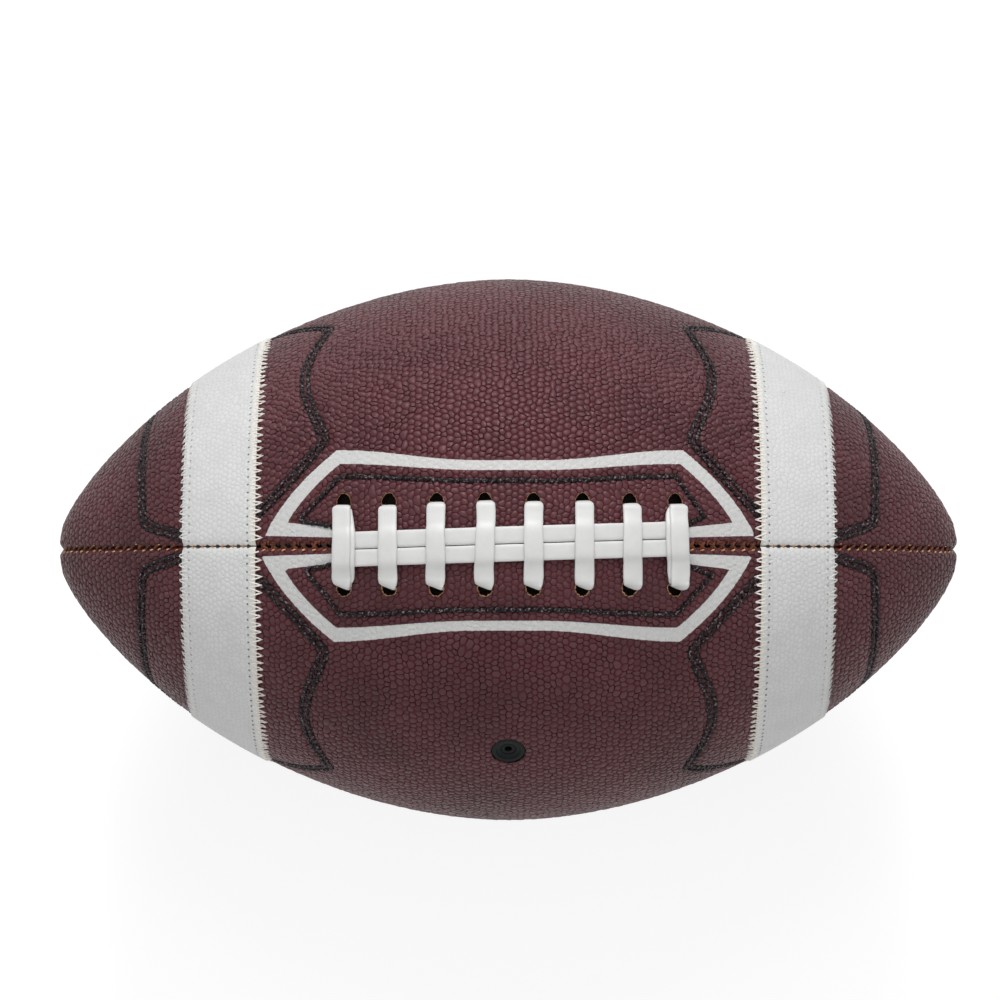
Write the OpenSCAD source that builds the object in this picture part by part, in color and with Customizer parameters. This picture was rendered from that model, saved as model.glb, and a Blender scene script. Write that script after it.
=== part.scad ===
// American football: four leather panels sewn over a bladder, closed by a lace.
// The ball lies on its base seam with its laces up. X runs from tip to tip.

/* [Ball] */
// Length from tip to tip
ball_length = 285; // [270:1:300]
// Diameter over the leather at the belly
belly_d = 171; // [160:1:180]
// Depth by which the blunt tips are rounded off
nose_round = 1.6; // [0.8:0.1:2.2]

/* [Panels] */
// Thickness of the leather
leather_t = 2; // [1.6:0.1:2.6]
// Depth of the groove along each seam
groove_depth = 1.2; // [0.6:0.1:1.6]
// Distance from a seam to where its shoulder begins to round over
shoulder_w = 3; // [2.2:0.1:4]
// Thickness of the turned-in edge along each seam
seam_edge_t = 1.5; // [1:0.1:2]
// Gap between the two edges that a seam joins
seam_gap = 0.1; // [0.06:0.01:0.2]
// Diameter of the seam thread
thread_d = 0.6; // [0.4:0.05:0.7]

/* [Inner layers] */
// Clearance between one layer and the next
layer_gap = 0.3; // [0.25:0.05:0.5]
// Thickness of the cloth lining behind each panel
lining_t = 0.8; // [0.5:0.1:1.2]
// Thickness of the bladder's wall
bladder_t = 0.7; // [0.5:0.1:1.2]
// Thickness of the facings that stiffen the lace holes
facing_t = 1.2; // [0.8:0.1:1.6]
// Thickness of the tongue between the lace and the bladder
tongue_t = 1.2; // [0.8:0.1:2]
// Width of the tongue
tongue_w = 42; // [38:1:48]

/* [Stripes] */
// Distance from the middle of the ball to the near edge of a stripe
stripe_x = 76; // [74:0.5:80]
// Width of a stripe along the ball
stripe_w = 23; // [15:0.5:26]
// Thickness of a stripe
stripe_t = 0.7; // [0.5:0.1:1]
// Clearance between a stripe and the leather under it
stripe_gap = 0.15; // [0.1:0.01:0.3]

/* [Lace] */
// Lace holes in each panel
hole_count = 8; // [6:1:8]
// Distance from one lace hole to the next
hole_pitch = 14.3; // [12:0.1:14.5]
// Distance from the lace seam to the centres of the holes
hole_y = 12.9; // [12.5:0.1:14]
// Diameter of a lace hole
hole_d = 5.6; // [5.2:0.1:6.5]
// Width of the lace where it crosses the seam
lace_w = 5.8; // [5:0.1:6]
// Thickness of the lace
lace_t = 1.4; // [1.1:0.1:1.6]
// Clearance between two runs of the lace
lace_gap = 0.55; // [0.5:0.05:0.8]
// Diameter of the hole at each end of the slit, where the lace dives under the leather
slit_hole_d = 4.6; // [4.2:0.1:5]
// Length over which the lace seam is left open
opening_l = 144; // [130:1:146]

/* [Valve] */
// Angle round the ball from the lace seam to the valve
valve_angle = 46.5; // [30:0.5:60]
// Diameter of the rubber boss that shows in the leather
boss_d = 10.4; // [9:0.1:12]
// Depth of the boss's rim under the leather's surface
boss_recess = 0.3; // [0.1:0.1:0.6]
// Width of the rim round the boss's dish
rim_w = 1.5; // [1:0.1:1.8]
// Depth of the dish in the boss's face
dish_depth = 0.8; // [0.4:0.1:1.2]
// Diameter of the flange inside the bladder
flange_d = 22; // [18:1:26]
// Thickness of the flange
flange_t = 1; // [0.8:0.1:1.6]
// Diameter of the barrel under the flange
barrel_d = 8; // [7.4:0.1:9]
// Diameter of the plug that seals the barrel
plug_d = 4.6; // [4:0.1:5.4]
// Diameter of the plug's foot
foot_d = 6; // [5.8:0.1:6.6]
// Height of the plug's foot
foot_h = 1.2; // [0.8:0.1:2]
// Length of the plug, which is the length of its needle bore
plug_l = 12; // [11:0.5:14]
// Diameter of the needle bore
needle_d = 2.1; // [1.8:0.1:2.4]
// Clearance between the plug and the barrel
plug_gap = 0.1; // [0.05:0.05:0.2]

/* [Hidden] */
$fn = 48;

leather_colour = [0.33, 0.15, 0.11];
lining_colour = [0.80, 0.76, 0.68];
white_colour = [0.90, 0.89, 0.85];
facing_colour = [0.62, 0.42, 0.27];
tongue_colour = [0.50, 0.34, 0.22];
bladder_colour = [0.12, 0.12, 0.13];
rubber_colour = [0.08, 0.08, 0.08];
thread_colour = [0.55, 0.30, 0.16];

// Profile of the ball: a full middle that draws in to blunt tips.
// The curve would meet the axis a little past the tips.
reach_share = 1.0115;
fullness = 1.873;
taper = 0.71;
half_l = ball_length / 2;
reach = half_l * reach_share;
belly_r = belly_d / 2;

// Sections of the ball along X, closer together towards the tips, and steps round a panel
section_count = 31;
arc_steps = 12;
shoulder_steps = 3;
// Radius of the ball at which a seam has its full size
full_seam_r = 12;
// Share of its size that the hollow keeps in the last two sections, which close the tips
closed_share = 0.1;
// Sections that close a tip, and sections that a lining stops short of it
closed_sections = 1;
lining_sections = 3;
bladder_sections = 2;
// Height of the domed end of the bladder
bladder_end = 0.7;
overrun = 10;

// Depths under the surface of the leather
lining_drop = leather_t + layer_gap;
edge_drop = lining_drop + lining_t + layer_gap;
facing_drop = lining_drop;
facing_end = facing_drop + facing_t;
bladder_drop = max(edge_drop, facing_end) + layer_gap;
edge_d = seam_gap / 2 + seam_edge_t + layer_gap;

// The lace: heights of its middle over the leather, and where it bends
bend_r = lace_t;
rail_w_share = 0.9;
rail_w = lace_w * rail_w_share;
rail_y = (rail_w + lace_gap) / 2;
flat_h = layer_gap + lace_t / 2;
over_h = flat_h + lace_t + lace_gap;
under_h = -(facing_end + layer_gap + lace_t / 2);
ramp_near = rail_y + rail_w / 2 + layer_gap;
ramp_far = ramp_near + lace_t * 2;
lace_bevel = 0.55;
half_span = hole_pitch * (hole_count - 1) / 2;
// Shares of the lace's width that place the slit's holes and the free ends of the rails
slit_shift_share = 0.17;
rail_stop_share = 0.6;
slit_x = half_span + lace_w * slit_shift_share;
rail_end_x = slit_x - lace_w * rail_stop_share;
// Shares of the lace's width: folded in a lace hole, in a slit's hole and on the way there
fold_share = 0.84;
slit_share = 0.6;
narrow_share = 0.68;
mid_bend_share = 1 - sqrt(0.5);
// Place of a crossing's crest, as a share of the way to the middle of a rail
crest_share = 0.7;
// Where a rail starts to dive, as a share of its bend, and how far it is from the seam on the way down
dive_start_share = 1.6;
dive_shares = [0.75, 0.35];
// Least share to which a sharp bend thins the lace
least_turn_share = 0.6;
// Step with which slopes of the ball's profile are measured
probe = 0.1;

// The tongue and the dent that it fits in
tongue_margin = 9;
tongue_corner = 8;
tongue_drop = -under_h + lace_t / 2 + layer_gap;
tongue_l = 2 * (half_span + hole_d / 2 + tongue_margin);
dent_drop = tongue_drop + tongue_t + layer_gap;

// Radius of the belly, which is level between its two middle sections
middle_r = skin_r(half_l * sin(90 / section_count));
// Height of the ball's axis over the surface that the shoulders of the base seam lie on
axis_h = sqrt(pow(middle_r, 2) - pow(shoulder_w, 2));

// Radius of the leather's surface at a distance from the middle of the ball
function skin_r(x) = belly_r * pow(max(0, 1 - pow(abs(x) / reach, fullness)), taper);

// Place of a section along the ball
function section_x(i) = half_l * sin(180 * i / section_count - 90);

function is_tip(i) = i == 0 || i == section_count;

function section_r(i) = skin_r(section_x(i)) - (is_tip(i) ? nose_round : 0);

// Seams get smaller with the ball where it nears its tips
function seam_scale(r) = min(1, r / full_seam_r);

// A point of a section, from its angle and radius
function at(r, angle) = [r * sin(angle), r * cos(angle)];

// A point at a distance from the seam plane and at a radius
function beside(d, r) = at(r, asin(d / r));

function swap(p) = [p[1], p[0]];

function reversed(list) = [for (i = [len(list) - 1 : -1 : 0]) list[i]];

// One shoulder, from the seam out to where the plain arc begins
function shoulder(r, s) = [
    for (i = [shoulder_steps : -1 : 1])
    let (angle = 90 * i / shoulder_steps, near = seam_gap / 2)
    beside(
        shoulder_w * s - (shoulder_w * s - near) * sin(angle),
        r - groove_depth * s * (1 - cos(angle))
    )
];

function arc_angle(r, s, i) =
    let (first = asin(shoulder_w * s / r))
    first + (90 - 2 * first) * i / arc_steps;

function arc(r, s, depth) = [for (i = [0 : arc_steps]) at(r - depth, arc_angle(r, s, i))];

// Outer face of a panel's section, from one seam to the next
function outer_face(r) =
    let (s = seam_scale(r), side = shoulder(r, s))
    concat(side, arc(r, s, 0), [for (p = reversed(side)) swap(p)]);

// Inner face of a panel's section, with the turned-in edge at each seam
function inner_face(r, open) =
    let (
        s = seam_scale(r),
        near = seam_gap / 2,
        far = near + seam_edge_t * s,
        low = r - edge_drop * s,
        edge = [beside(near, low), beside(far, low), beside(far, r - leather_t * s)],
        face = concat(edge, arc(r, s, leather_t * s), [for (p = reversed(edge)) swap(p)])
    )
    [for (p = face) [for (v = p) near + (v - near) * open]];

function in_space(x, face) = [for (p = face) [x, p[0], p[1]]];

// Skin between two stacks of faces that have the same points: outer[i] and inner[i] lie at one section
module sheet(outer, inner) {
    m = len(outer[0]);
    last = len(outer) - 1;
    n = 2 * m;
    rings = [for (i = [0 : last]) concat(outer[i], reversed(inner[i]))];
    sides = [
        for (i = [0 : last - 1]) for (j = [0 : n - 1])
        let (a = i * n + j, b = i * n + (j + 1) % n)
        each [[a, b, b + n], [a, b + n, a + n]]
    ];
    caps = [
        for (j = [0 : m - 2])
        let (a = j, b = j + 1, c = n - 2 - j, d = n - 1 - j, e = last * n)
        each [[a, c, b], [a, d, c], [e + a, e + b, e + c], [e + a, e + c, e + d]]
    ];
    polyhedron([for (ring = rings) each ring], concat(sides, caps), convexity = 8);
}

// Closed tube through rings of points
module tube(rings) {
    n = len(rings[0]);
    last = len(rings) - 1;
    sides = [
        for (i = [0 : last - 1]) for (j = [0 : n - 1])
        let (a = i * n + j, b = i * n + (j + 1) % n)
        each [[a, b + n, b], [a, a + n, b + n]]
    ];
    caps = [for (j = [1 : n - 2]) each [[0, j, j + 1], [last * n, last * n + j + 1, last * n + j]]];
    polyhedron([for (ring = rings) each ring], concat(sides, caps), convexity = 8);
}

// Turns what is made about the ball's axis into its place over the ground
module placed() translate([0, 0, axis_h]) children();

module turned(quarter) rotate([-90 * quarter, 0, 0]) children();

// One panel, between the seam at the top and the seam at the left
module panel() {
    closes = function (i) i <= closed_sections || i >= section_count - closed_sections;
    sections = [0 : section_count];
    sheet(
        [for (i = sections) in_space(section_x(i), outer_face(section_r(i)))],
        [for (i = sections) in_space(section_x(i), inner_face(section_r(i), closes(i) ? closed_share : 1))]
    );
}

// Profile points from one section to another, at a depth under the leather
function profile(from, to, depth) = [
    for (i = [from : to]) [skin_r(section_x(i)) - depth, section_x(i)]
];

module about_x() rotate([0, 90, 0]) children();

// Turned shell between two depths under the leather
module shell(near, far, skipped) {
    last = section_count - skipped;
    about_x() rotate_extrude()
        polygon(concat(profile(skipped, last, near), reversed(profile(skipped, last, far))));
}

// The quarter of space behind one panel, clear of its turned-in edges
module quarter_space() translate([-half_l, edge_d, edge_d]) cube([ball_length, belly_r, belly_r]);

module lining() intersection() {
    shell(lining_drop, lining_drop + lining_t, lining_sections);
    quarter_space();
}

function hole_x(i) = hole_pitch * i - half_span;

// Lace holes of one side: side is 1 for the left and -1 for the right
module lace_holes(side) for (i = [0 : hole_count - 1])
    translate([hole_x(i), side * hole_y, 0]) cylinder(h = belly_r + overrun, d = hole_d);

module slit_holes() for (end = [-1, 1])
    translate([end * slit_x, 0, 0]) cylinder(h = belly_r + overrun, d = slit_hole_d);

// Plan of the two facings: their outline follows the stitching round the lace holes.
// The margins are past the last holes along the seam, and beside the holes.
facing_point_margin = 13;
facing_root_margin = 8;
facing_side_margin = 7;
facing_point_y = 8;
facing_waist = 1.2;
facing_corner_x = half_span + hole_d / 2;
facing_point_x = facing_corner_x + facing_point_margin;
facing_root_x = facing_corner_x + facing_root_margin;
facing_y = hole_y + hole_d / 2 + facing_side_margin;

function facing_side() = [
    [facing_root_x, 0],
    [facing_point_x, facing_point_y],
    [facing_corner_x, facing_y],
    [0, facing_y - facing_waist]
];

module facing_plan(grow) offset(delta = grow) polygon(concat(
    facing_side(),
    [for (p = reversed(facing_side())) [-p[0], p[1]]],
    [for (p = facing_side()) [-p[0], -p[1]]],
    [for (p = reversed(facing_side())) [p[0], -p[1]]]
));

module facing_prism(grow) linear_extrude(belly_r + overrun) facing_plan(grow);

module lace_facing(side) color(facing_colour) placed() difference() {
    intersection() {
        shell(facing_drop, facing_end, lining_sections);
        facing_prism(0);
        mirror([0, side < 0 ? 1 : 0, 0]) translate([-half_l, edge_d, 0]) cube([ball_length, belly_r, belly_r]);
    }
    lace_holes(side);
    slit_holes();
}

module tongue_prism(grow) {
    x = tongue_l / 2 + grow;
    y = tongue_w / 2 + grow;
    c = tongue_corner;
    linear_extrude(belly_r + overrun) polygon([
        [x, c - y], [x, y - c], [x - c, y], [c - x, y],
        [-x, y - c], [-x, c - y], [c - x, -y], [x - c, -y]
    ]);
}

module lace_tongue() color(tongue_colour) placed() intersection() {
    shell(tongue_drop, tongue_drop + tongue_t, lining_sections);
    tongue_prism(0);
}

// Filled body of the bladder at a depth, with the dent for the tongue
module bladder_body(depth, dent, grow) {
    first = bladder_sections;
    last = section_count - first;
    rows = profile(first, last, depth);
    end_x = section_x(last) + bladder_end - grow;
    end_r = rows[0][0] / 2;
    ends = [[end_r, end_x], [0, end_x], [0, -end_x], [end_r, -end_x]];
    difference() {
        about_x() rotate_extrude() polygon(concat(rows, ends));
        intersection() {
            shell(-overrun, dent, lining_sections);
            tongue_prism(layer_gap + grow);
        }
    }
}

module bladder() color(bladder_colour) placed() difference() {
    bladder_body(bladder_drop, dent_drop, 0);
    bladder_body(bladder_drop + bladder_t, dent_drop + bladder_t, bladder_t);
    valve_hole();
}

// Round hole along the valve's axis, clear of its boss
module valve_hole() rotate([valve_angle, 0, 0])
    cylinder(h = belly_r + overrun, d = boss_d + 2 * layer_gap);

module lace_panel_left() color(leather_colour) placed() difference() {
    panel();
    lace_holes(1);
    slit_holes();
}

module lace_panel_right() color(leather_colour) placed() difference() {
    turned(3) panel();
    lace_holes(-1);
    slit_holes();
    valve_hole();
}

module base_panel_left() color(leather_colour) placed() turned(1) panel();

module base_panel_right() color(leather_colour) placed() turned(2) panel();

module lace_lining_left() color(lining_colour) placed() difference() {
    lining();
    facing_prism(layer_gap);
}

module lace_lining_right() color(lining_colour) placed() difference() {
    turned(3) lining();
    facing_prism(layer_gap);
    valve_hole();
}

module base_lining_left() color(lining_colour) placed() turned(1) lining();

module base_lining_right() color(lining_colour) placed() turned(2) lining();

// Steps along a stripe
stripe_steps = 4;

// One face of a stripe over the left lace panel, at a height over the leather
function stripe_face(x, height) =
    let (face = outer_face(skin_r(x)), last = len(face) - 1)
    in_space(x, [for (i = [1 : last - 1]) face[i] * (norm(face[i]) + height) / norm(face[i])]);

module stripe(turn, end) color(white_colour) placed() turned(turn) {
    places = [for (i = [0 : stripe_steps]) stripe_x + stripe_w * i / stripe_steps];
    across = end > 0 ? places : [for (x = reversed(places)) -x];
    sheet(
        [for (x = across) stripe_face(x, stripe_gap + stripe_t)],
        [for (x = across) stripe_face(x, stripe_gap)]
    );
}

// Seam thread: it lies in the groove, on the two shoulders, and stays clear of them by a share of the depth
thread_sides = 6;
thread_clear_share = 0.05;
thread_drop = groove_depth - thread_d - groove_depth * thread_clear_share;
// Steepest slope that the thread's sections lean to
steepest = 60;

function thread_ring(x) =
    let (
        r = skin_r(x),
        s = seam_scale(r),
        slope = atan((skin_r(x + probe) - skin_r(x - probe)) / (2 * probe)),
        tilt = max(-steepest, min(steepest, slope))
    )
    [
        for (i = [0 : thread_sides - 1])
        let (angle = 360 * i / thread_sides, up = thread_d / 2 * s * sin(angle))
        [x - up * sin(tilt), thread_d / 2 * s * cos(angle), r - thread_drop * s + up * cos(tilt)]
    ];

module seam_thread(turn, from, to) {
    inside = [for (i = [1 : section_count - 1]) section_x(i)];
    near = thread_d;
    places = concat([from], [for (x = inside) if (x > from + near && x < to - near) x], [to]);
    color(thread_colour) placed() turned(turn) tube([for (x = places) thread_ring(x)]);
}

thread_end = section_x(section_count - 1);

// A point of the lace: x, y, height over the leather, direction of its width, share of its width
function lace_z(x, y, h) = sqrt(pow(skin_r(x) + h, 2) - pow(y, 2));

function lace_place(p) = [p[0], p[1], lace_z(p[0], p[1], p[2])];

function unit(v) = v / norm(v);

// The width's direction in space, laid along the ball's surface
function lace_across(p) =
    let (
        x = p[0], y = p[1], h = p[2], w = p[3],
        dx = (lace_z(x + probe, y, h) - lace_z(x - probe, y, h)) / (2 * probe),
        dy = (lace_z(x, y + probe, h) - lace_z(x, y - probe, h)) / (2 * probe)
    )
    unit([w[0], w[1], w[0] * dx + w[1] * dy]);

along_seam = [0, 1];
along_cross = [-1, 0];

// Half of a crossing, from the middle to its hole: distance from the seam, height, share of the width
crossing_half = [
    [rail_y * crest_share, over_h, 1],
    [ramp_near, over_h, 1],
    [(ramp_near + ramp_far) / 2, (over_h + flat_h) / 2, 1],
    [ramp_far, flat_h, 1],
    [hole_y - bend_r, flat_h, 1],
    [hole_y - bend_r * mid_bend_share, flat_h - bend_r * mid_bend_share, (1 + fold_share) / 2],
    [hole_y, flat_h - bend_r, fold_share]
];

function crossing(x) = concat(
    [for (p = reversed(crossing_half)) [x, p[0], p[1], along_cross, p[2]]],
    [for (p = crossing_half) [x, -p[0], p[1], along_cross, p[2]]]
);

// Steps in a run under the leather
run_steps = 5;

// A run under the leather between two holes: a and b are [place, width's direction, share of the width]
function inner_run(a, b) =
    let (
        way = b[0] - a[0],
        long = norm(way),
        dir = way / long,
        side = [-dir[1], dir[0]],
        low = bend_r * mid_bend_share
    )
    concat(
        [[a[0][0], a[0][1], under_h + bend_r, a[1], a[2]]],
        [[a[0][0] + dir[0] * low, a[0][1] + dir[1] * low, under_h + low, unit(a[1] + side), a[2]]],
        [
            for (i = [0 : run_steps])
            let (d = bend_r + (long - 2 * bend_r) * i / run_steps)
            let (end_share = i == 0 ? a[2] : b[2], free = i > 0 && i < run_steps)
            [a[0][0] + dir[0] * d, a[0][1] + dir[1] * d, under_h, side, free ? 1 : (1 + end_share) / 2]
        ],
        [[b[0][0] - dir[0] * low, b[0][1] - dir[1] * low, under_h + low, unit(b[1] + side), b[2]]],
        [[b[0][0], b[0][1], under_h + bend_r, b[1], b[2]]]
    );

// A point where a rail dives, at a distance before the slit's hole
function dive(end, side, before, y_share, w_share) =
    [end * (slit_x - before), side * rail_y * y_share, flat_h, along_seam, w_share];

// A rail, from its free end to the slit's hole: end is the end of the ball at which it dives
function rail(end, side) = concat(
    [
        for (i = [0 : 2 * hole_count - 2])
        let (x = hole_pitch * i / 2 - half_span)
        [end * max(-rail_end_x, min(rail_end_x, x)), side * rail_y, flat_h, along_seam, rail_w_share]
    ],
    [
        dive(end, side, bend_r * dive_start_share, dive_shares[0], narrow_share),
        dive(end, side, bend_r, dive_shares[1], (narrow_share + slit_share) / 2),
        [end * (slit_x - bend_r * mid_bend_share), 0, flat_h - bend_r * mid_bend_share, along_seam, slit_share],
        [end * slit_x, 0, flat_h - bend_r, along_seam, slit_share]
    ]
);

// Whole route: rail, slit, crossings from end to end, slit, rail
function lace_route() =
    let (
        aft = [[-slit_x, 0], along_seam, slit_share],
        fore = [[slit_x, 0], along_seam, slit_share],
        hole = function (i, side) [[hole_x(i), side * hole_y], along_cross, fold_share],
        last = hole_count - 1
    )
    concat(
        rail(-1, -1),
        inner_run(aft, hole(0, 1)),
        [
            for (i = [0 : last])
            each concat(crossing(hole_x(i)), i < last ? inner_run(hole(i, -1), hole(i + 1, 1)) : [])
        ],
        inner_run(hole(last, -1), fore),
        reversed(rail(1, 1))
    );

// Section of the lace, a flat band with bevelled edges: w is half of its width
function lace_section(w) = [
    [w, 0], [w - lace_bevel, lace_t / 2], [lace_bevel - w, lace_t / 2],
    [-w, 0], [lace_bevel - w, -lace_t / 2], [w - lace_bevel, -lace_t / 2]
];

function lace_frames(route) =
    let (places = [for (p = route) lace_place(p)], last = len(route) - 1)
    [
        for (i = [0 : last])
        let (
            back = i == 0 ? places[1] - places[0] : places[i] - places[i - 1],
            ahead = i == last ? places[i] - places[i - 1] : places[i + 1] - places[i],
            t = unit(unit(back) + unit(ahead)),
            w = lace_across(route[i]),
            across = unit(w - t * (w * t)),
            half_turn = max(least_turn_share, sqrt((1 + unit(back) * unit(ahead)) / 2))
        )
        [places[i], across, cross(t, across) / half_turn, route[i][4] * lace_w / 2]
    ];

function lace_ring(f, outline) = [for (q = outline) f[0] + f[1] * q[0] + f[2] * q[1]];

// Least distance between runs of the lace, on points spread over its two faces
function least_gap(frames) =
    let (
        spread_shares = [-0.9, -0.45, 0, 0.45, 0.9],
        faces = [
            for (f = frames)
            lace_ring(f, [for (s = spread_shares) each [[s * f[3], lace_t / 2], [s * f[3], -lace_t / 2]]])
        ],
        apart = 5,
        last = len(faces) - 1,
        reach_of_pair = 2 * lace_w
    )
    min([
        for (i = [0 : last - apart]) for (j = [i + apart : last])
        if (norm(frames[i][0] - frames[j][0]) < reach_of_pair)
        min([for (p = faces[i]) for (q = faces[j]) norm(p - q)])
    ]);

module lace() {
    frames = lace_frames(lace_route());
    echo(least_lace_gap = least_gap(frames));
    color(white_colour) placed() tube([for (f = frames) lace_ring(f, lace_section(f[3]))]);
}

// The valve stands on the ball's radius, with zero at the surface of the leather
module valve_place() placed() rotate([valve_angle, 0, 0]) translate([0, 0, middle_r]) children();

flange_top = bladder_drop + bladder_t + layer_gap;
flange_sag = pow(flange_d / 2, 2) / (2 * (middle_r - flange_top));
plug_top = boss_recess + dish_depth;
barrel_end = plug_top + plug_l - foot_h - plug_gap;
boss_round = 0.8;

module valve_housing() color(rubber_colour) valve_place() rotate_extrude() polygon([
    [plug_d / 2 + plug_gap, -barrel_end],
    [plug_d / 2 + plug_gap, -plug_top],
    [boss_d / 2 - rim_w, -boss_recess],
    [boss_d / 2 - boss_round, -boss_recess],
    [boss_d / 2, -boss_recess - boss_round / 2],
    [boss_d / 2, -flange_top],
    [flange_d / 2, -flange_top - flange_sag],
    [flange_d / 2, -flange_top - flange_sag - flange_t / 2],
    [boss_d / 2, -flange_top - flange_sag - flange_t],
    [barrel_d / 2, -flange_top - flange_sag - flange_t],
    [barrel_d / 2, -barrel_end]
]);

module valve_plug() color(rubber_colour) valve_place() rotate_extrude() polygon([
    [needle_d / 2, -plug_top - plug_l],
    [needle_d / 2, -plug_top],
    [plug_d / 2, -plug_top],
    [plug_d / 2, -plug_top - plug_l + foot_h],
    [foot_d / 2, -plug_top - plug_l + foot_h],
    [foot_d / 2, -plug_top - plug_l + foot_h / 2],
    [plug_d / 2, -plug_top - plug_l]
]);

lace_panel_left();
lace_panel_right();
base_panel_left();
base_panel_right();
lace_lining_left();
lace_lining_right();
base_lining_left();
base_lining_right();
stripe(0, 1);  // stripe_left_fore
stripe(0, -1);  // stripe_left_aft
stripe(3, 1);  // stripe_right_fore
stripe(3, -1);  // stripe_right_aft
lace();
lace_facing(1);  // lace_facing_left
lace_facing(-1);  // lace_facing_right
lace_tongue();
bladder();
valve_housing();
valve_plug();
seam_thread(0, opening_l / 2, thread_end);  // lace_seam_thread_fore
seam_thread(0, -thread_end, -opening_l / 2);  // lace_seam_thread_aft
seam_thread(1, -thread_end, thread_end);  // left_seam_thread
seam_thread(3, -thread_end, thread_end);  // right_seam_thread
seam_thread(2, -thread_end, thread_end);  // base_seam_thread
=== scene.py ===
"""An american football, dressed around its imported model.

Sizes are millimetres in the model's own axes: X runs from tip to tip, +Y is the left side and +Z points out of
the laces. Angles go round the ball from the lace seam towards the left side. Meshes and the camera are placed in
metres.
"""

import logging
import math
from dataclasses import dataclass, field
from enum import Enum

import bmesh
import bpy
import numpy as np
from mathutils import Matrix, Vector

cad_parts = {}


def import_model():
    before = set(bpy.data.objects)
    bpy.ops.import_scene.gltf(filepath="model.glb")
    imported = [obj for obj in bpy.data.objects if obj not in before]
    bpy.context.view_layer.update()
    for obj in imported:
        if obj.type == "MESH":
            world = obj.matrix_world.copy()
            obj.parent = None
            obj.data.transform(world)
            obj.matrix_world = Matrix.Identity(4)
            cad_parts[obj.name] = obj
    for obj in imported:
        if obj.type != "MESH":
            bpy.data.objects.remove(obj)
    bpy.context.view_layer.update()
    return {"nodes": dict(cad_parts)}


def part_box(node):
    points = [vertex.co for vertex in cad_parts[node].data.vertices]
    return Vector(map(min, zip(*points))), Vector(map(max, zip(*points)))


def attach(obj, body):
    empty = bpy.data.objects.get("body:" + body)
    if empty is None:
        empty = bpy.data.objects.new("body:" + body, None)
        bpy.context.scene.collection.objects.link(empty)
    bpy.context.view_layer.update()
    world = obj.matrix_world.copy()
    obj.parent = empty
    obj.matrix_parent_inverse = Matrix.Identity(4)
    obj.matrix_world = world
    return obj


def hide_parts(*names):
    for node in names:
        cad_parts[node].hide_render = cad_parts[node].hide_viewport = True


log = logging.getLogger("football")

Array = np.ndarray
Colour = tuple[float, float, float, float]
Face = tuple[int, ...]
Socket = bpy.types.NodeSocket
Input = Socket | Colour | float
Piece = bpy.types.Object
Draws = np.random.Generator
Material = bpy.types.Material
Spot = tuple[float, float]

MM = 0.001
QUARTER = math.pi / 2
SHARP_DEGREES = 50
WHITE = (1.0, 1.0, 1.0, 1.0)


def srgb(red: float, green: float, blue: float) -> Colour:
    """Turns a screen colour into a shader's colour.

    Args:
        red: Red, from 0 to 255.
        green: Green.
        blue: Blue.

    Returns:
        The linear colour, with full alpha.
    """
    shares = (value / 255 for value in (red, green, blue))
    linear = [v / 12.92 if v <= 0.04045 else ((v + 0.055) / 1.055) ** 2.4 for v in shares]
    return (*linear, 1.0)


def smoothstep(low: float, high: float, value: Array) -> Array:
    """Rises smoothly from 0 at low to 1 at high."""
    share = np.clip((value - low) / (high - low), 0, 1)
    return share * share * (3 - 2 * share)


def unit(vectors: Array) -> Array:
    """Scales vectors to length 1."""
    return vectors / np.maximum(np.linalg.norm(vectors, axis=-1, keepdims=True), 1e-9)


def circle(count: int) -> Array:
    """Gives even points round a circle of radius 1."""
    turns = np.linspace(0, 2 * math.pi, count, endpoint=False)
    return np.stack([np.cos(turns), np.sin(turns)], -1)


def spokes(turn: float, count: int) -> tuple[Array, Array]:
    """Gives a direction out of the ball's belly, and the spokes of a wheel about it."""
    across = [0, math.cos(turn), -math.sin(turn)]
    return np.array([0, math.sin(turn), math.cos(turn)]), circle(count) @ np.array([[1, 0, 0], across])


def tube_faces(rings: int, size: int) -> list[Face]:
    """Joins rings of points to a tube.

    Args:
        rings: How many rings.
        size: Points in each.

    Returns:
        The faces, ring by ring.
    """
    i, j = np.meshgrid(np.arange(rings - 1), np.arange(size), indexing="ij")
    k = (j + 1) % size
    squares = np.stack([i * size + j, i * size + k, (i + 1) * size + k, (i + 1) * size + j], -1)
    return [tuple(face) for face in squares.reshape(-1, 4).tolist()]


def tube_ends(rings: int, size: int) -> list[Face]:
    """Closes the two ends of such a tube."""
    return [tuple(reversed(range(size))), tuple(range((rings - 1) * size, rings * size))]


def turn_outwards(piece: Piece) -> None:
    """Turns the faces of a closed piece outwards.

    Args:
        piece: The piece.
    """
    work = bmesh.new()
    work.from_mesh(piece.data)
    bmesh.ops.recalc_face_normals(work, faces=work.faces)
    work.to_mesh(piece.data)
    work.free()


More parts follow.
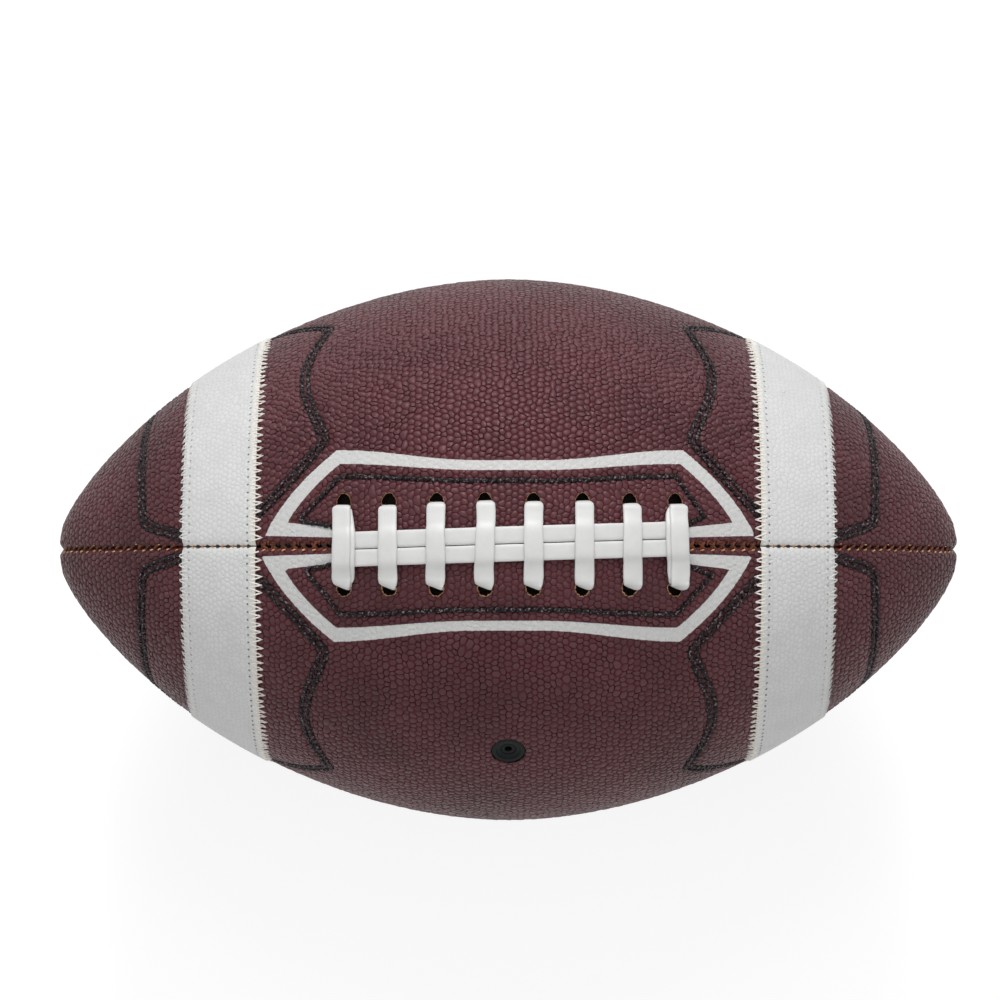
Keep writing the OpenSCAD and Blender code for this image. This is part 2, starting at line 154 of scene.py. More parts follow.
@dataclass
class MeshData:
    """Points, faces and named values of one mesh."""

    points: Array
    faces: list[Face]  # Faces, as tuples of point numbers
    slots: list[int] = field(default_factory=list)  # Material slot of each face
    values: dict[str, Array] = field(default_factory=dict)  # Named values at the points

    @staticmethod
    def joined(parts: "list[MeshData]") -> "MeshData":
        """Puts several meshes into one.

        Args:
            parts: The meshes, without named values.

        Returns:
            One mesh that holds them all.
        """
        faces, slots, start = [], [], 0
        for part in parts:
            faces += [tuple(i + start for i in face) for face in part.faces]
            slots += part.slots or [0] * len(part.faces)
            start += len(part.points)
        return MeshData(np.concatenate([part.points for part in parts]), faces, slots)

    def build(
        self, name: str, materials: list[Material], sharp_degrees: float = SHARP_DEGREES
    ) -> Piece:
        """Makes a Blender object of the mesh.

        Args:
            name: Name of the object.
            materials: Its materials, in the order of the slots.
            sharp_degrees: Angle between faces over which their edge stays sharp.

        Returns:
            The new object, in the scene.
        """
        mesh = bpy.data.meshes.new(name)
        mesh.from_pydata((self.points * MM).tolist(), [], self.faces)
        for material in materials:
            mesh.materials.append(material)
        if self.slots:
            mesh.polygons.foreach_set("material_index", np.array(self.slots, np.int32))
        for value_name, values in self.values.items():
            attribute = mesh.attributes.new(value_name, "FLOAT", "POINT")
            attribute.data.foreach_set("value", values.astype(np.float32))
        mesh.shade_smooth()
        mesh.set_sharp_from_angle(angle=math.radians(sharp_degrees))
        mesh.update()
        piece = bpy.data.objects.new(name, mesh)
        bpy.context.scene.collection.objects.link(piece)
        return piece


def swept(centres: Array, sides: Array, ups: Array, outlines: Array) -> MeshData:
    """Sweeps an outline along a line.

    Args:
        centres: Points of the line.
        sides: Direction of the outline's first axis at each point.
        ups: Direction of its second axis at each point.
        outlines: The outline's points at each point of the line, or one outline for all.

    Returns:
        The mesh, with closed ends.
    """
    outlines = np.broadcast_to(outlines, (len(centres), *np.shape(outlines)[-2:]))
    rings = centres[:, None] + sides[:, None] * outlines[..., :1] + ups[:, None] * outlines[..., 1:]
    count, size = rings.shape[:2]
    return MeshData(rings.reshape(-1, 3), tube_faces(count, size) + tube_ends(count, size))


def cutter(name: str, rings: list[Array], slots: list[int], materials: list[Material]) -> Piece:
    """Makes a closed tool from rings of points.

    Args:
        name: Name of the tool.
        rings: The rings, from the outside in.
        slots: Material slot of the faces between two rings.
        materials: The materials.

    Returns:
        The tool.
    """
    count, size = len(rings), len(rings[0])
    face_slots = [slot for slot in slots for _ in range(size)] + [slots[0], slots[-1]]
    faces = tube_faces(count, size) + tube_ends(count, size)
    tool = MeshData(np.concatenate(rings), faces, face_slots).build(name, materials)
    turn_outwards(tool)
    return tool


def cut(piece: Piece, tool: Piece) -> None:
    """Cuts a tool out of a piece, and removes the tool.

    Args:
        piece: The piece.
        tool: The tool.
    """
    change = piece.modifiers.new("cut", "BOOLEAN")
    change.operation = "DIFFERENCE"
    change.solver = "MANIFOLD"
    change.object = tool
    change.material_mode = "TRANSFER"
    done = bpy.data.meshes.new_from_object(piece.evaluated_get(bpy.context.evaluated_depsgraph_get()))
    piece.modifiers.remove(change)
    old, piece.data = piece.data, done
    done.name = piece.name
    bpy.data.meshes.remove(old)
    bpy.data.objects.remove(tool)


@dataclass(frozen=True)
class BallShape:
    """The outside of the leather: a surface turned about X, with a groove along each of its four seams."""

    half_length: float  # Distance from the middle to a tip
    axis_height: float  # Height of the ball's axis over the ground
    belly_radius: float = 85.5
    reach_share: float = 1.0115  # Where the profile would meet the axis, as a share of the half length
    fullness: float = 1.873  # Power that sets how full the middle is
    taper: float = 0.71  # Power that sets how blunt the tips are
    nose_length: float = 1.6  # Length over which a tip is rounded off
    nose_pull: float = 0.3  # How far a tip is drawn in
    notch_depth: float = 1.1  # How much further the seams draw it in
    notch_width: float = 1.2  # Width of those notches
    notch_run: float = 6.0  # Length over which they fade out
    groove_depth: float = 1.2  # Depth of a seam's groove
    shoulder_width: float = 3.0  # Distance from a seam to where the leather begins to round over
    seam_gap: float = 0.1  # Gap between the two edges that a seam joins
    full_seam_radius: float = 12.0  # Radius of the ball at which a seam has its full size
    steepest: float = 8.0  # Steepest slope that directions follow
    probe: float = 0.05  # Distance over which a slope is measured
    samples: int = 6001  # Points at which the profile's length is added up

    @classmethod
    def from_frame(cls) -> "BallShape":
        """Takes the length and the axis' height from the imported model.

        Returns:
            The shape.
        """
        low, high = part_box("base_panel_left")
        lace_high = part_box("lace_panel_left")[1]
        return cls(half_length=(high.x - low.x) / 2 / MM, axis_height=lace_high.y / MM)

    def radius(self, x: Array) -> Array:
        """Gives the radius at distances from the middle.

        Args:
            x: The distances.

        Returns:
            The radii.
        """
        away = np.minimum(np.abs(x), self.half_length)
        reached = (away / (self.half_length * self.reach_share)) ** self.fullness
        plain = self.belly_radius * (1 - reached) ** self.taper
        over = np.clip((away - self.half_length + self.nose_length) / self.nose_length, 0, 1)
        return plain * np.sqrt(1 - over**2)

    def slope(self, x: Array) -> Array:
        """Gives the slope of the profile at distances from the middle.

        Args:
            x: The distances.

        Returns:
            The slopes.
        """
        near = np.clip(x - self.probe, -self.half_length, self.half_length)
        far = np.clip(x + self.probe, -self.half_length, self.half_length)
        return (self.radius(far) - self.radius(near)) / (far - near)

    def run_table(self) -> tuple[Array, Array]:
        """Measures along the profile.

        Returns:
            Places along X, and the length of the profile up to each.
        """
        x = self.half_length * np.sin(np.linspace(-QUARTER, QUARTER, self.samples))
        steps = np.hypot(np.diff(x), np.diff(self.radius(x)))
        return x, np.concatenate([[0], np.cumsum(steps)])

    def run_at(self, x: Array) -> Array:
        """Gives the length of the profile from the middle, counted as the seam's stitches are."""
        places, runs = self.run_table()
        return np.interp(x, places, runs) - runs[-1] / 2

    def frame_at(self, x: Array, angle: Array) -> tuple[Array, Array, Array]:
        """Gives directions on the smooth surface.

        Args:
            x: Distances from the middle.
            angle: Angles from the lace seam.

        Returns:
            The directions along the ball, round it and out of it.
        """
        slope = np.clip(self.slope(x), -self.steepest, self.steepest)
        sine, cosine = np.sin(angle), np.cos(angle)
        along = unit(np.stack([np.ones_like(x), slope * sine, slope * cosine], -1))
        round_it = np.stack([np.zeros_like(x), cosine, -sine], -1)
        out = unit(np.stack([-slope, sine, cosine], -1))
        return along, round_it, out

    def point(self, x: Array, angle: Array, height: Array | float = 0.0) -> Array:
        """Gives points over the smooth surface.

        Args:
            x: Distances from the middle of the surface under each point.
            angle: Angles from the lace seam.
            height: Heights over the surface.

        Returns:
            The points.
        """
        x, angle, height = np.broadcast_arrays(*(np.asarray(v, float) for v in (x, angle, height)))
        radius = self.radius(x)
        base = np.stack([x, radius * np.sin(angle), self.axis_height + radius * np.cos(angle)], -1)
        return base + self.frame_at(x, angle)[2] * height[..., None]

    def drawn_in(self, points: Array, inside: bool = False) -> Array:
        """Draws the tips in, most of all along the seams, so that each panel bulges there.

        Args:
            points: Points of the ball.
            inside: Whether they lie under the outer face, where all go in as far as the seams do.

        Returns:
            The moved points.
        """
        beside = np.minimum(np.abs(points[:, 1]), np.abs(points[:, 2] - self.axis_height)) * (not inside)
        near_nose = smoothstep(self.half_length - self.notch_run, self.half_length, np.abs(points[:, 0]))
        pull = self.nose_pull + self.notch_depth * np.exp(-((beside / self.notch_width) ** 2))
        moved = points.copy()
        moved[:, 0] -= np.sign(points[:, 0]) * near_nose * pull
        return moved

    def seam_distance(self, x: Array, angle: Array) -> Array:
        """Gives the distance from the nearest seam's plane."""
        from_seam = (angle + QUARTER / 2) % QUARTER - QUARTER / 2
        return self.radius(x) * np.abs(np.sin(from_seam))

    def seam_scale(self, x: Array) -> Array:
        """Gives the size of the seams, as a share of their full size."""
        return np.minimum(1, self.radius(x) / self.full_seam_radius)

    def groove(self, x: Array, angle: Array) -> Array:
        """Gives the depth of the seam grooves.

        Args:
            x: Distances from the middle.
            angle: Angles from the lace seam.

        Returns:
            The depths under the smooth surface.
        """
        scale = self.seam_scale(x)
        near, width = self.seam_gap / 2, self.shoulder_width * scale
        into = np.clip((width - self.seam_distance(x, angle)) / np.maximum(width - near, 1e-6), 0, 1)
        return self.groove_depth * scale * (1 - np.sqrt(1 - into**2))


@dataclass(frozen=True)
class Route:
    """A line over the ball."""

    x: Array
    angle: Array  # Angles from the lace seam

    @classmethod
    def from_corners(cls, corners: list[Spot], rounds: int = 3) -> "Route":
        """Rounds off a line through corners.

        Args:
            corners: Distance from the middle and angle in degrees of each corner.
            rounds: How often the corners are cut.

        Returns:
            The rounded line.
        """
        line = np.array([(x, math.radians(degrees)) for x, degrees in corners])
        for _ in range(rounds):
            early = line[:-1] * 0.75 + line[1:] * 0.25
            late = line[:-1] * 0.25 + line[1:] * 0.75
            line = np.concatenate([line[:1], np.stack([early, late], 1).reshape(-1, 2), line[-1:]])
        return cls(line[:, 0], line[:, 1])

    def points(self, ball: BallShape) -> Array:
        """Gives the line's points in space."""
        return ball.point(self.x, self.angle)

    def spaced(self, ball: BallShape, step: float) -> "Route":
        """Puts points at even steps along the line.

        Args:
            ball: The ball that the line lies on.
            step: Length of a step, which is fitted to the line's length.

        Returns:
            The same line with even steps.
        """
        run = np.concatenate([[0], np.cumsum(np.linalg.norm(np.diff(self.points(ball), axis=0), axis=1))])
        even = np.linspace(0, run[-1], max(2, round(run[-1] / step) + 1))
        return Route(np.interp(even, run, self.x), np.interp(even, run, self.angle))

    def heading(self, ball: BallShape) -> tuple[Array, Array, Array]:
        """Gives directions along the line.

        Args:
            ball: The ball that the line lies on.

        Returns:
            The directions ahead, to the side and out of the ball at each point.
        """
        out = ball.frame_at(self.x, self.angle)[2]
        ahead = np.gradient(self.points(ball), axis=0)
        ahead = unit(ahead - out * np.sum(ahead * out, -1, keepdims=True))
        return ahead, np.cross(out, ahead), out

    def shifted(self, ball: BallShape, offset: float) -> "Route":
        """Gives a line beside this one.

        Args:
            ball: The ball that the line lies on.
            offset: How far to its side the new line lies.

        Returns:
            The new line.
        """
        beside = self.points(ball) + self.heading(ball)[1] * offset
        angle = np.arctan2(beside[:, 1], beside[:, 2] - ball.axis_height)
        turns = np.round((self.angle - angle) / (2 * math.pi))
        return Route(beside[:, 0], angle + turns * 2 * math.pi)


def distance_to(points: Array, samples: Array, reach: float, batch: int = 2000) -> Array:
    """Measures how far points are from the nearest of some samples.

    Args:
        points: The points.
        samples: The samples.
        reach: The greatest distance that matters.
        batch: How many points are measured at once.

    Returns:
        The distances, none over reach.
    """
    best = np.full(len(points), reach)
    band = 2 * reach
    for low in np.arange(samples[:, 0].min() - reach, samples[:, 0].max() + reach, band):
        mine = np.flatnonzero((points[:, 0] >= low) & (points[:, 0] < low + band))
        near = samples[(samples[:, 0] >= low - reach) & (samples[:, 0] < low + band + reach)]
        for part in np.array_split(mine, max(1, len(mine) // batch)):
            if len(part) and len(near):
                gaps = np.linalg.norm(points[part, None, :] - near[None, :, :], axis=2).min(1)
                best[part] = np.minimum(best[part], gaps)
    return best


def signed_distance(x: Array, y: Array, outline: Array) -> Array:
    """Measures how far points are from a closed outline in a plane.

    Args:
        x: First coordinates of the points.
        y: Second coordinates of the points.
        outline: Corners of the outline.

    Returns:
        The distances, below zero inside the outline.
    """
    nearest = np.full(len(x), np.inf)
    inside = np.zeros(len(x), bool)
    for (x0, y0), (x1, y1) in zip(outline, np.roll(outline, -1, axis=0)):
        along_x, along_y = x1 - x0, y1 - y0
        share = np.clip(((x - x0) * along_x + (y - y0) * along_y) / (along_x**2 + along_y**2 + 1e-12), 0, 1)
        nearest = np.minimum(nearest, np.hypot(x - x0 - share * along_x, y - y0 - share * along_y))
        if y0 != y1:
            crosses = (y0 > y) != (y1 > y)
            inside ^= crosses & (x < along_x * (y - y0) / (y1 - y0) + x0)
    return np.where(inside, -nearest, nearest)


def zipped(first: Array, second: Array, first_start: int, second_start: int) -> Array:
    """Joins two rows of points by triangles.

    Args:
        first: Shares across of the first row's points, rising.
        second: Shares across of the second row's points, rising.
        first_start: Number of the first row's first point.
        second_start: Number of the second row's first point.

    Returns:
        The triangles.
    """
    first_middles, second_middles = (first[1:] + first[:-1]) / 2, (second[1:] + second[:-1]) / 2
    i, j = np.arange(len(first_middles)), np.arange(len(second_middles))
    ahead = np.searchsorted(second_middles, first_middles, side="left")
    behind = np.searchsorted(first_middles, second_middles, side="right")
    lower = np.stack([first_start + i + 1, first_start + i, second_start + ahead], -1)
    upper = np.stack([second_start + j, second_start + j + 1, first_start + behind], -1)
    return np.concatenate([lower, upper])


class Panel(Enum):
    """The four leather panels, by the quarter of the ball that each covers."""

    LACE_LEFT = 0
    BASE_LEFT = 1
    BASE_RIGHT = 2
    LACE_RIGHT = 3

    @property
    def node(self) -> str:
        """Name of the panel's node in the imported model."""
        return self.name.lower().replace("_", "_panel_")

    @property
    def has_laces(self) -> bool:
        """Whether the panel borders the lace seam."""
        return self in (Panel.LACE_LEFT, Panel.LACE_RIGHT)

    @property
    def side(self) -> int:
        """1 for a left panel and -1 for a right one."""
        return 1 if self in (Panel.LACE_LEFT, Panel.BASE_LEFT) else -1


@dataclass(frozen=True)
class Grain:
    """Pebbled grain: a round bump about each seed, and valleys between them."""

    pitch: float  # Distance between neighbouring seeds
    height: float  # Height of a bump over the valleys
    seed: int
    jitter_share: float = 0.35  # How far a seed may stray, as a share of the pitch
    shoulder_share: float = 0.7  # Place of a bump's shoulder, as a share of the way to its edge
    shoulder_height_share: float = 0.9  # Height of that shoulder, as a share of the bump's height
    uneven_share: float = 0.35  # How much the bumps' heights differ, as a share of the height
    missing_share: float = 0.008  # Share of the seeds that are left out, so that their neighbours grow
    drift_share: float = 0.13  # How far each wave carries the seeds along, as a share of the pitch
    drift_pitches: tuple[float, ...] = (3.1, 4.3, 6.7)  # Lengths of those waves, in pitches
    drift_turns: Spot = (1.3, 2.1)  # Direction of the first wave, and the turn from one to the next
    drift_phase: float = 1.7  # How much later a wave moves the seeds along than across
    calm_pitches: float = 3.0  # Distance from an edge at which the waves have their full strength, in pitches
    stretch: float = 1.12  # Length of a bump along the ball, as a share of its width
    sunk_share: float = 0.6  # Depth of the valleys under the smooth surface, as a share of the height


@dataclass
class GrainedSkin:
    """A closed piece of pebbled skin over a quarter of the ball, from one seam to the next.

    Seeds stand in rows round the ball. Each becomes the top of a bump, and the valleys run between the middles
    of the triangles that join the seeds.
    """

    ball: BallShape
    grain: Grain
    panel: Panel  # Which quarter of the ball it covers
    # Points across the back of each section, from one seam's last point to the other's
    ring_arc_points: int = 8
    least_radius: float = 0.3  # Radius under which the skin's edges are laid out as if the ball were that thick
    least_inner_radius: float = 0.2  # The same for its back
    most_sine: float = 0.7  # Sine of the widest angle that an edge takes up
    flat_share: float = 0.7  # How far the seams flatten the grain
    flat_depths: Spot = (0.1, 0.6)  # Depths of a groove over which they do

    def __post_init__(self) -> None:
        """Starts the random draws."""
        self.random = np.random.default_rng(self.grain.seed + self.panel.value)

    def ends(self) -> Spot:
        """Gives the distances from the middle at which the skin starts and stops."""
        raise NotImplementedError

    def edges(self, x: Array) -> tuple[Array, Array]:
        """Gives the skin's distances from the seams at its start and at its end."""
        return np.full_like(x, self.ball.seam_gap / 2), np.full_like(x, self.ball.seam_gap / 2)

    def outer_height(self, x: Array, angle: Array) -> Array:
        """Gives the height of the outer face over the ball's smooth surface, without its grain."""
        raise NotImplementedError

    def relief(self, x: Array, angle: Array) -> Array:
        """Flattens the grain in the seams, and gives how far it still stands out."""
        return 1 - self.flat_share * smoothstep(*self.flat_depths, self.ball.groove(x, angle))

    def marks(self, x: Array, angle: Array) -> dict[str, tuple[Array, float]]:
        """Gives further named values of the outer face, each with its value on the inner faces."""
        raise NotImplementedError

    def ring(self, x: float, near: float) -> list[Spot]:
        """Gives half a section of the inner faces at one place, as distances from the seam's plane and depths."""
        raise NotImplementedError

    def angle_at(self, x: Array, share: Array) -> Array:
        """Turns shares across the skin into angles.

        Args:
            x: Distances from the middle of the ball.
            share: Shares, from 0 at the first edge to 1 at the other.

        Returns:
            The angles from the lace seam.
        """
        radius = np.maximum(self.ball.radius(x), self.least_radius)
        start, end = (np.arcsin(np.clip(edge / radius, 0, self.most_sine)) for edge in self.edges(x))
        return self.panel.value * QUARTER + start + share * (QUARTER - start - end)

    def rows(self) -> tuple[list[Array], list[Array]]:
        """Places the seeds.

        Returns:
            For each row, the seeds' lengths along the profile and shares across the skin.
        """
        grain = self.grain
        places, runs = self.ball.run_table()
        first, last = np.interp(self.ends(), places, runs)
        count = max(2, round((last - first) / (grain.pitch * grain.stretch * math.sqrt(0.75))))
        step = (last - first) / count
        run_rows, share_rows = [], []
        for i in range(count + 1):
            run = first + step * i
            around = max(3, round(float(self.ball.radius(np.interp(run, runs, places))) * QUARTER / grain.pitch))
            if i % 2:
                share = np.concatenate([[0], (np.arange(around) + 0.5) / around, [1]])
            else:
                share = np.arange(around + 1) / around
            along = np.full(len(share), run)
            strays = self.random.uniform(-grain.jitter_share, grain.jitter_share, (2, len(share) - 2))
            inside = 0 < i < count
            share[1:-1] += strays[0] / around
            along[1:-1] += strays[1] * step * inside
            drift = self.drift(run, share * around * grain.pitch, min(i, count - i) * step)
            share += drift[0] / (around * grain.pitch)
            along += drift[1]
            kept = self.random.random(len(share)) > grain.missing_share * inside
            kept[:2] = kept[-2:] = True
            run_rows.append(along[kept])
            share_rows.append(share[kept])
        return run_rows, share_rows

    def drift(self, run: float, across: Array, from_end: float) -> tuple[Array, Array]:
        """Carries seeds along in slow waves, so that the bumps crowd in some places and spread in others.

        Args:
            run: Length along the profile of the row.
            across: Distances of the seeds across the skin.
            from_end: Distance of the row from the nearer end.

        Returns:
            How far the seeds move across and along the skin.
        """
        grain = self.grain
        across_move, along_move = np.zeros_like(across), np.zeros_like(across)
        for i, length in enumerate(grain.drift_pitches):
            turn = grain.drift_turns[0] + grain.drift_turns[1] * i
            wave = 2 * math.pi / (length * grain.pitch)
            phase = (run * math.cos(turn) + across * math.sin(turn)) * wave + i
            across_move += np.sin(phase) * math.cos(turn)
            along_move += np.sin(phase + grain.drift_phase) * math.sin(turn)
        from_edge = np.minimum(np.minimum(across, across[-1] - across), from_end)
        calm = grain.drift_share * grain.pitch * smoothstep(0, grain.calm_pitches * grain.pitch, from_edge)
        return across_move * calm, along_move * calm

    def pebbled(self, run: Array, share: Array, triangles: Array) -> tuple[Array, Array, Array, list[Face]]:
        """Turns a net of seeds into bumps.

        Args:
            run: Lengths along the profile of the seeds.
            share: Shares across the skin of the seeds.
            triangles: The triangles that join the seeds.

        Returns:
            Lengths, shares and rise from 0 to 1 of all points, and the faces. The seeds come first.
        """
        seeds, count = len(run), len(triangles)
        both = np.stack([run, share], -1)
        middles = both[triangles].mean(1)
        slopes = both[triangles] + (middles[:, None] - both[triangles]) * self.grain.shoulder_share
        tops = 1 - self.grain.uneven_share * self.random.random(seeds)
        shoulders = (tops[triangles] * self.grain.shoulder_height_share).reshape(-1)
        rise = np.concatenate([tops, np.zeros(count), shoulders])
        places = np.concatenate([both, middles, slopes.reshape(-1, 2)])
        start = triangles.reshape(-1)
        end = np.roll(triangles, -1, axis=1).reshape(-1)
        owner = np.repeat(np.arange(count), 3)
        start_slope = seeds + count + np.arange(3 * count)
        end_slope = seeds + count + 3 * owner + np.tile([1, 2, 0], count)
        key = np.minimum(start, end).astype(np.int64) * seeds + np.maximum(start, end)
        order = np.argsort(key, kind="stable")
        paired = np.flatnonzero(np.diff(key[order]) == 0)
        one, two = order[paired], order[paired + 1]
        middle_one, middle_two = seeds + owner[one], seeds + owner[two]
        alone = np.ones(len(key), bool)
        alone[one] = alone[two] = False
        rim = np.flatnonzero(alone)
        parts = (
            [start[one], end_slope[two], start_slope[one]],
            [end[one], end_slope[one], start_slope[two]],
            [end_slope[two], middle_two, middle_one, start_slope[one]],
            [end_slope[one], middle_one, middle_two, start_slope[two]],
            [start[rim], end[rim], end_slope[rim], seeds + owner[rim], start_slope[rim]],
        )
        faces = [tuple(face) for part in parts for face in np.stack(part, -1).tolist()]
        return places[:, 0], places[:, 1], rise, faces

    def section(self, x: float, start_edge: float, end_edge: float) -> Array:
        """Draws one section of the inner faces.

        Args:
            x: Place of the section along the ball.
            start_edge: Distance of the skin's first edge from its seam.
            end_edge: The same for its other edge.

        Returns:
            The points.
        """
        radius = float(self.ball.radius(x))
        halves = [self.ring(x, edge) for edge in (start_edge, end_edge)]
        begin, finish = (
            [math.asin(min(self.most_sine, d / max(radius - h, self.least_inner_radius))) for d, h in half]
            for half in halves
        )
        arc = np.linspace(begin[-1], QUARTER - finish[-1], self.ring_arc_points)[1:-1]
        turns = np.array([*begin, *arc, *(QUARTER - turn for turn in reversed(finish))])
        turns = turns + self.panel.value * QUARTER
        depths = [d for _, d in halves[0]] + [halves[0][-1][1]] * len(arc) + [d for _, d in reversed(halves[1])]
        inner = radius - np.array(depths)
        return np.stack(
            [np.full(len(turns), x), inner * np.sin(turns), self.ball.axis_height + inner * np.cos(turns)], -1
        )

    def mesh(self) -> MeshData:
        """Builds the closed skin.

        Returns:
            The mesh, with run, rise, groove and the skin's own marks at its points. Slot 1 is the raw side.
        """
        run_rows, share_rows = self.rows()
        last = len(run_rows) - 1
        starts = np.cumsum([0] + [len(row) for row in share_rows]).tolist()
        nets = [zipped(share_rows[i], share_rows[i + 1], starts[i], starts[i + 1]) for i in range(last)]
        run, share, rise, faces = self.pebbled(
            np.concatenate(run_rows), np.concatenate(share_rows), np.concatenate(nets)
        )
        places, runs = self.ball.run_table()
        x = np.interp(run, runs, places)
        angle = self.angle_at(x, share)
        bumps = self.grain.height * (self.relief(x, angle) * rise - self.grain.sunk_share)
        outer_points = self.ball.drawn_in(self.ball.point(x, angle, self.outer_height(x, angle) + bumps))

        row_x = np.interp([row[0] for row in run_rows], runs, places)
        sections = [self.section(*(float(v) for v in row)) for row in zip(row_x, *self.edges(row_x))]
        inner_points = self.ball.drawn_in(np.concatenate(sections), inside=True)
        size, base = len(sections[0]), len(outer_points)
        backs = []
        for i in range(last):
            a, b = base + i * size, base + (i + 1) * size
            backs += [(a + j, a + j + 1, b + j + 1, b + j) for j in range(size - 1)]
            backs.append((starts[i], a, b, starts[i + 1]))
            backs.append((starts[i + 2] - 1, b + size - 1, a + size - 1, starts[i + 1] - 1))
        shares = np.linspace(0, 1, size)
        first_end = zipped(shares, share_rows[0], base, starts[0])
        other_end = zipped(share_rows[last], shares, starts[last], base + last * size)
        backs += [tuple(face) for face in np.concatenate([first_end, other_end]).tolist()]
        spare = np.zeros(len(inner_points))
        values = {
            "run": self.ball.run_at(np.concatenate([x, inner_points[:, 0]])),
            "rise": np.concatenate([rise, spare]),
            "groove": np.concatenate([self.ball.groove(x, angle), spare + self.ball.groove_depth]),
        }
        for name, (outer, inner) in self.marks(x, angle).items():
            values[name] = np.concatenate([outer, spare + inner])
        points = np.concatenate([outer_points, inner_points])
        return MeshData(points, faces + backs, [0] * len(faces) + [1] * len(backs), values)


@dataclass(frozen=True)
class PatchRows:
    """The double rows of stitches that hold the patch behind each end of a panel.

    The rows mirror about the middle of the panel. Angles are degrees from one of its seams.
    """

    row_gap: float = 1.95
    # The line on the belly side, from the seam to the panel's middle
    belly_corners: tuple[Spot, ...] = ((75.4, 8.6), (55.4, 24.5), (55.6, 26.0), (61.4, 38.0), (62.4, 45.0))
    seam_corner: Spot = (98.4, 2.8)  # Where the line lies beside the seam, under the stripe's outer edge
    # The line on the tip side, from its corner to the panel's middle
    tip_corners: tuple[Spot, ...] = ((111.8, 8.6), (112.9, 14.0), (113.9, 45.0))
    step: float = 1.0

    @staticmethod
    def mirrored(half: tuple[Spot, ...]) -> list[Spot]:
        """Adds the other half of a line, mirrored about the middle of the panel."""
        return [*half, *((x, 90 - degrees) for x, degrees in reversed(half[:-1]))]

    def routes(self, ball: BallShape, panel: Panel) -> list[Route]:
        """Lays out the rows of one panel. On a lace panel, a stripe covers their stretch along the seams.

        Args:
            ball: The ball.
            panel: The panel.

        Returns:
            The single rows, first those at the aft end.
        """
        belly, tip = self.mirrored(self.belly_corners), self.mirrored((self.seam_corner, *self.tip_corners))
        lines = [belly, tip] if panel.has_laces else [belly + tip[::-1] + belly[:1]]
        found = []
        for end in (-1, 1):
            for line in lines:
                corners = [(end * x, panel.value * 90 + degrees) for x, degrees in line]
                route = Route.from_corners(corners).spaced(ball, self.step)
                found += [route.shifted(ball, side * self.row_gap / 2) for side in (-1, 1)]
        return found


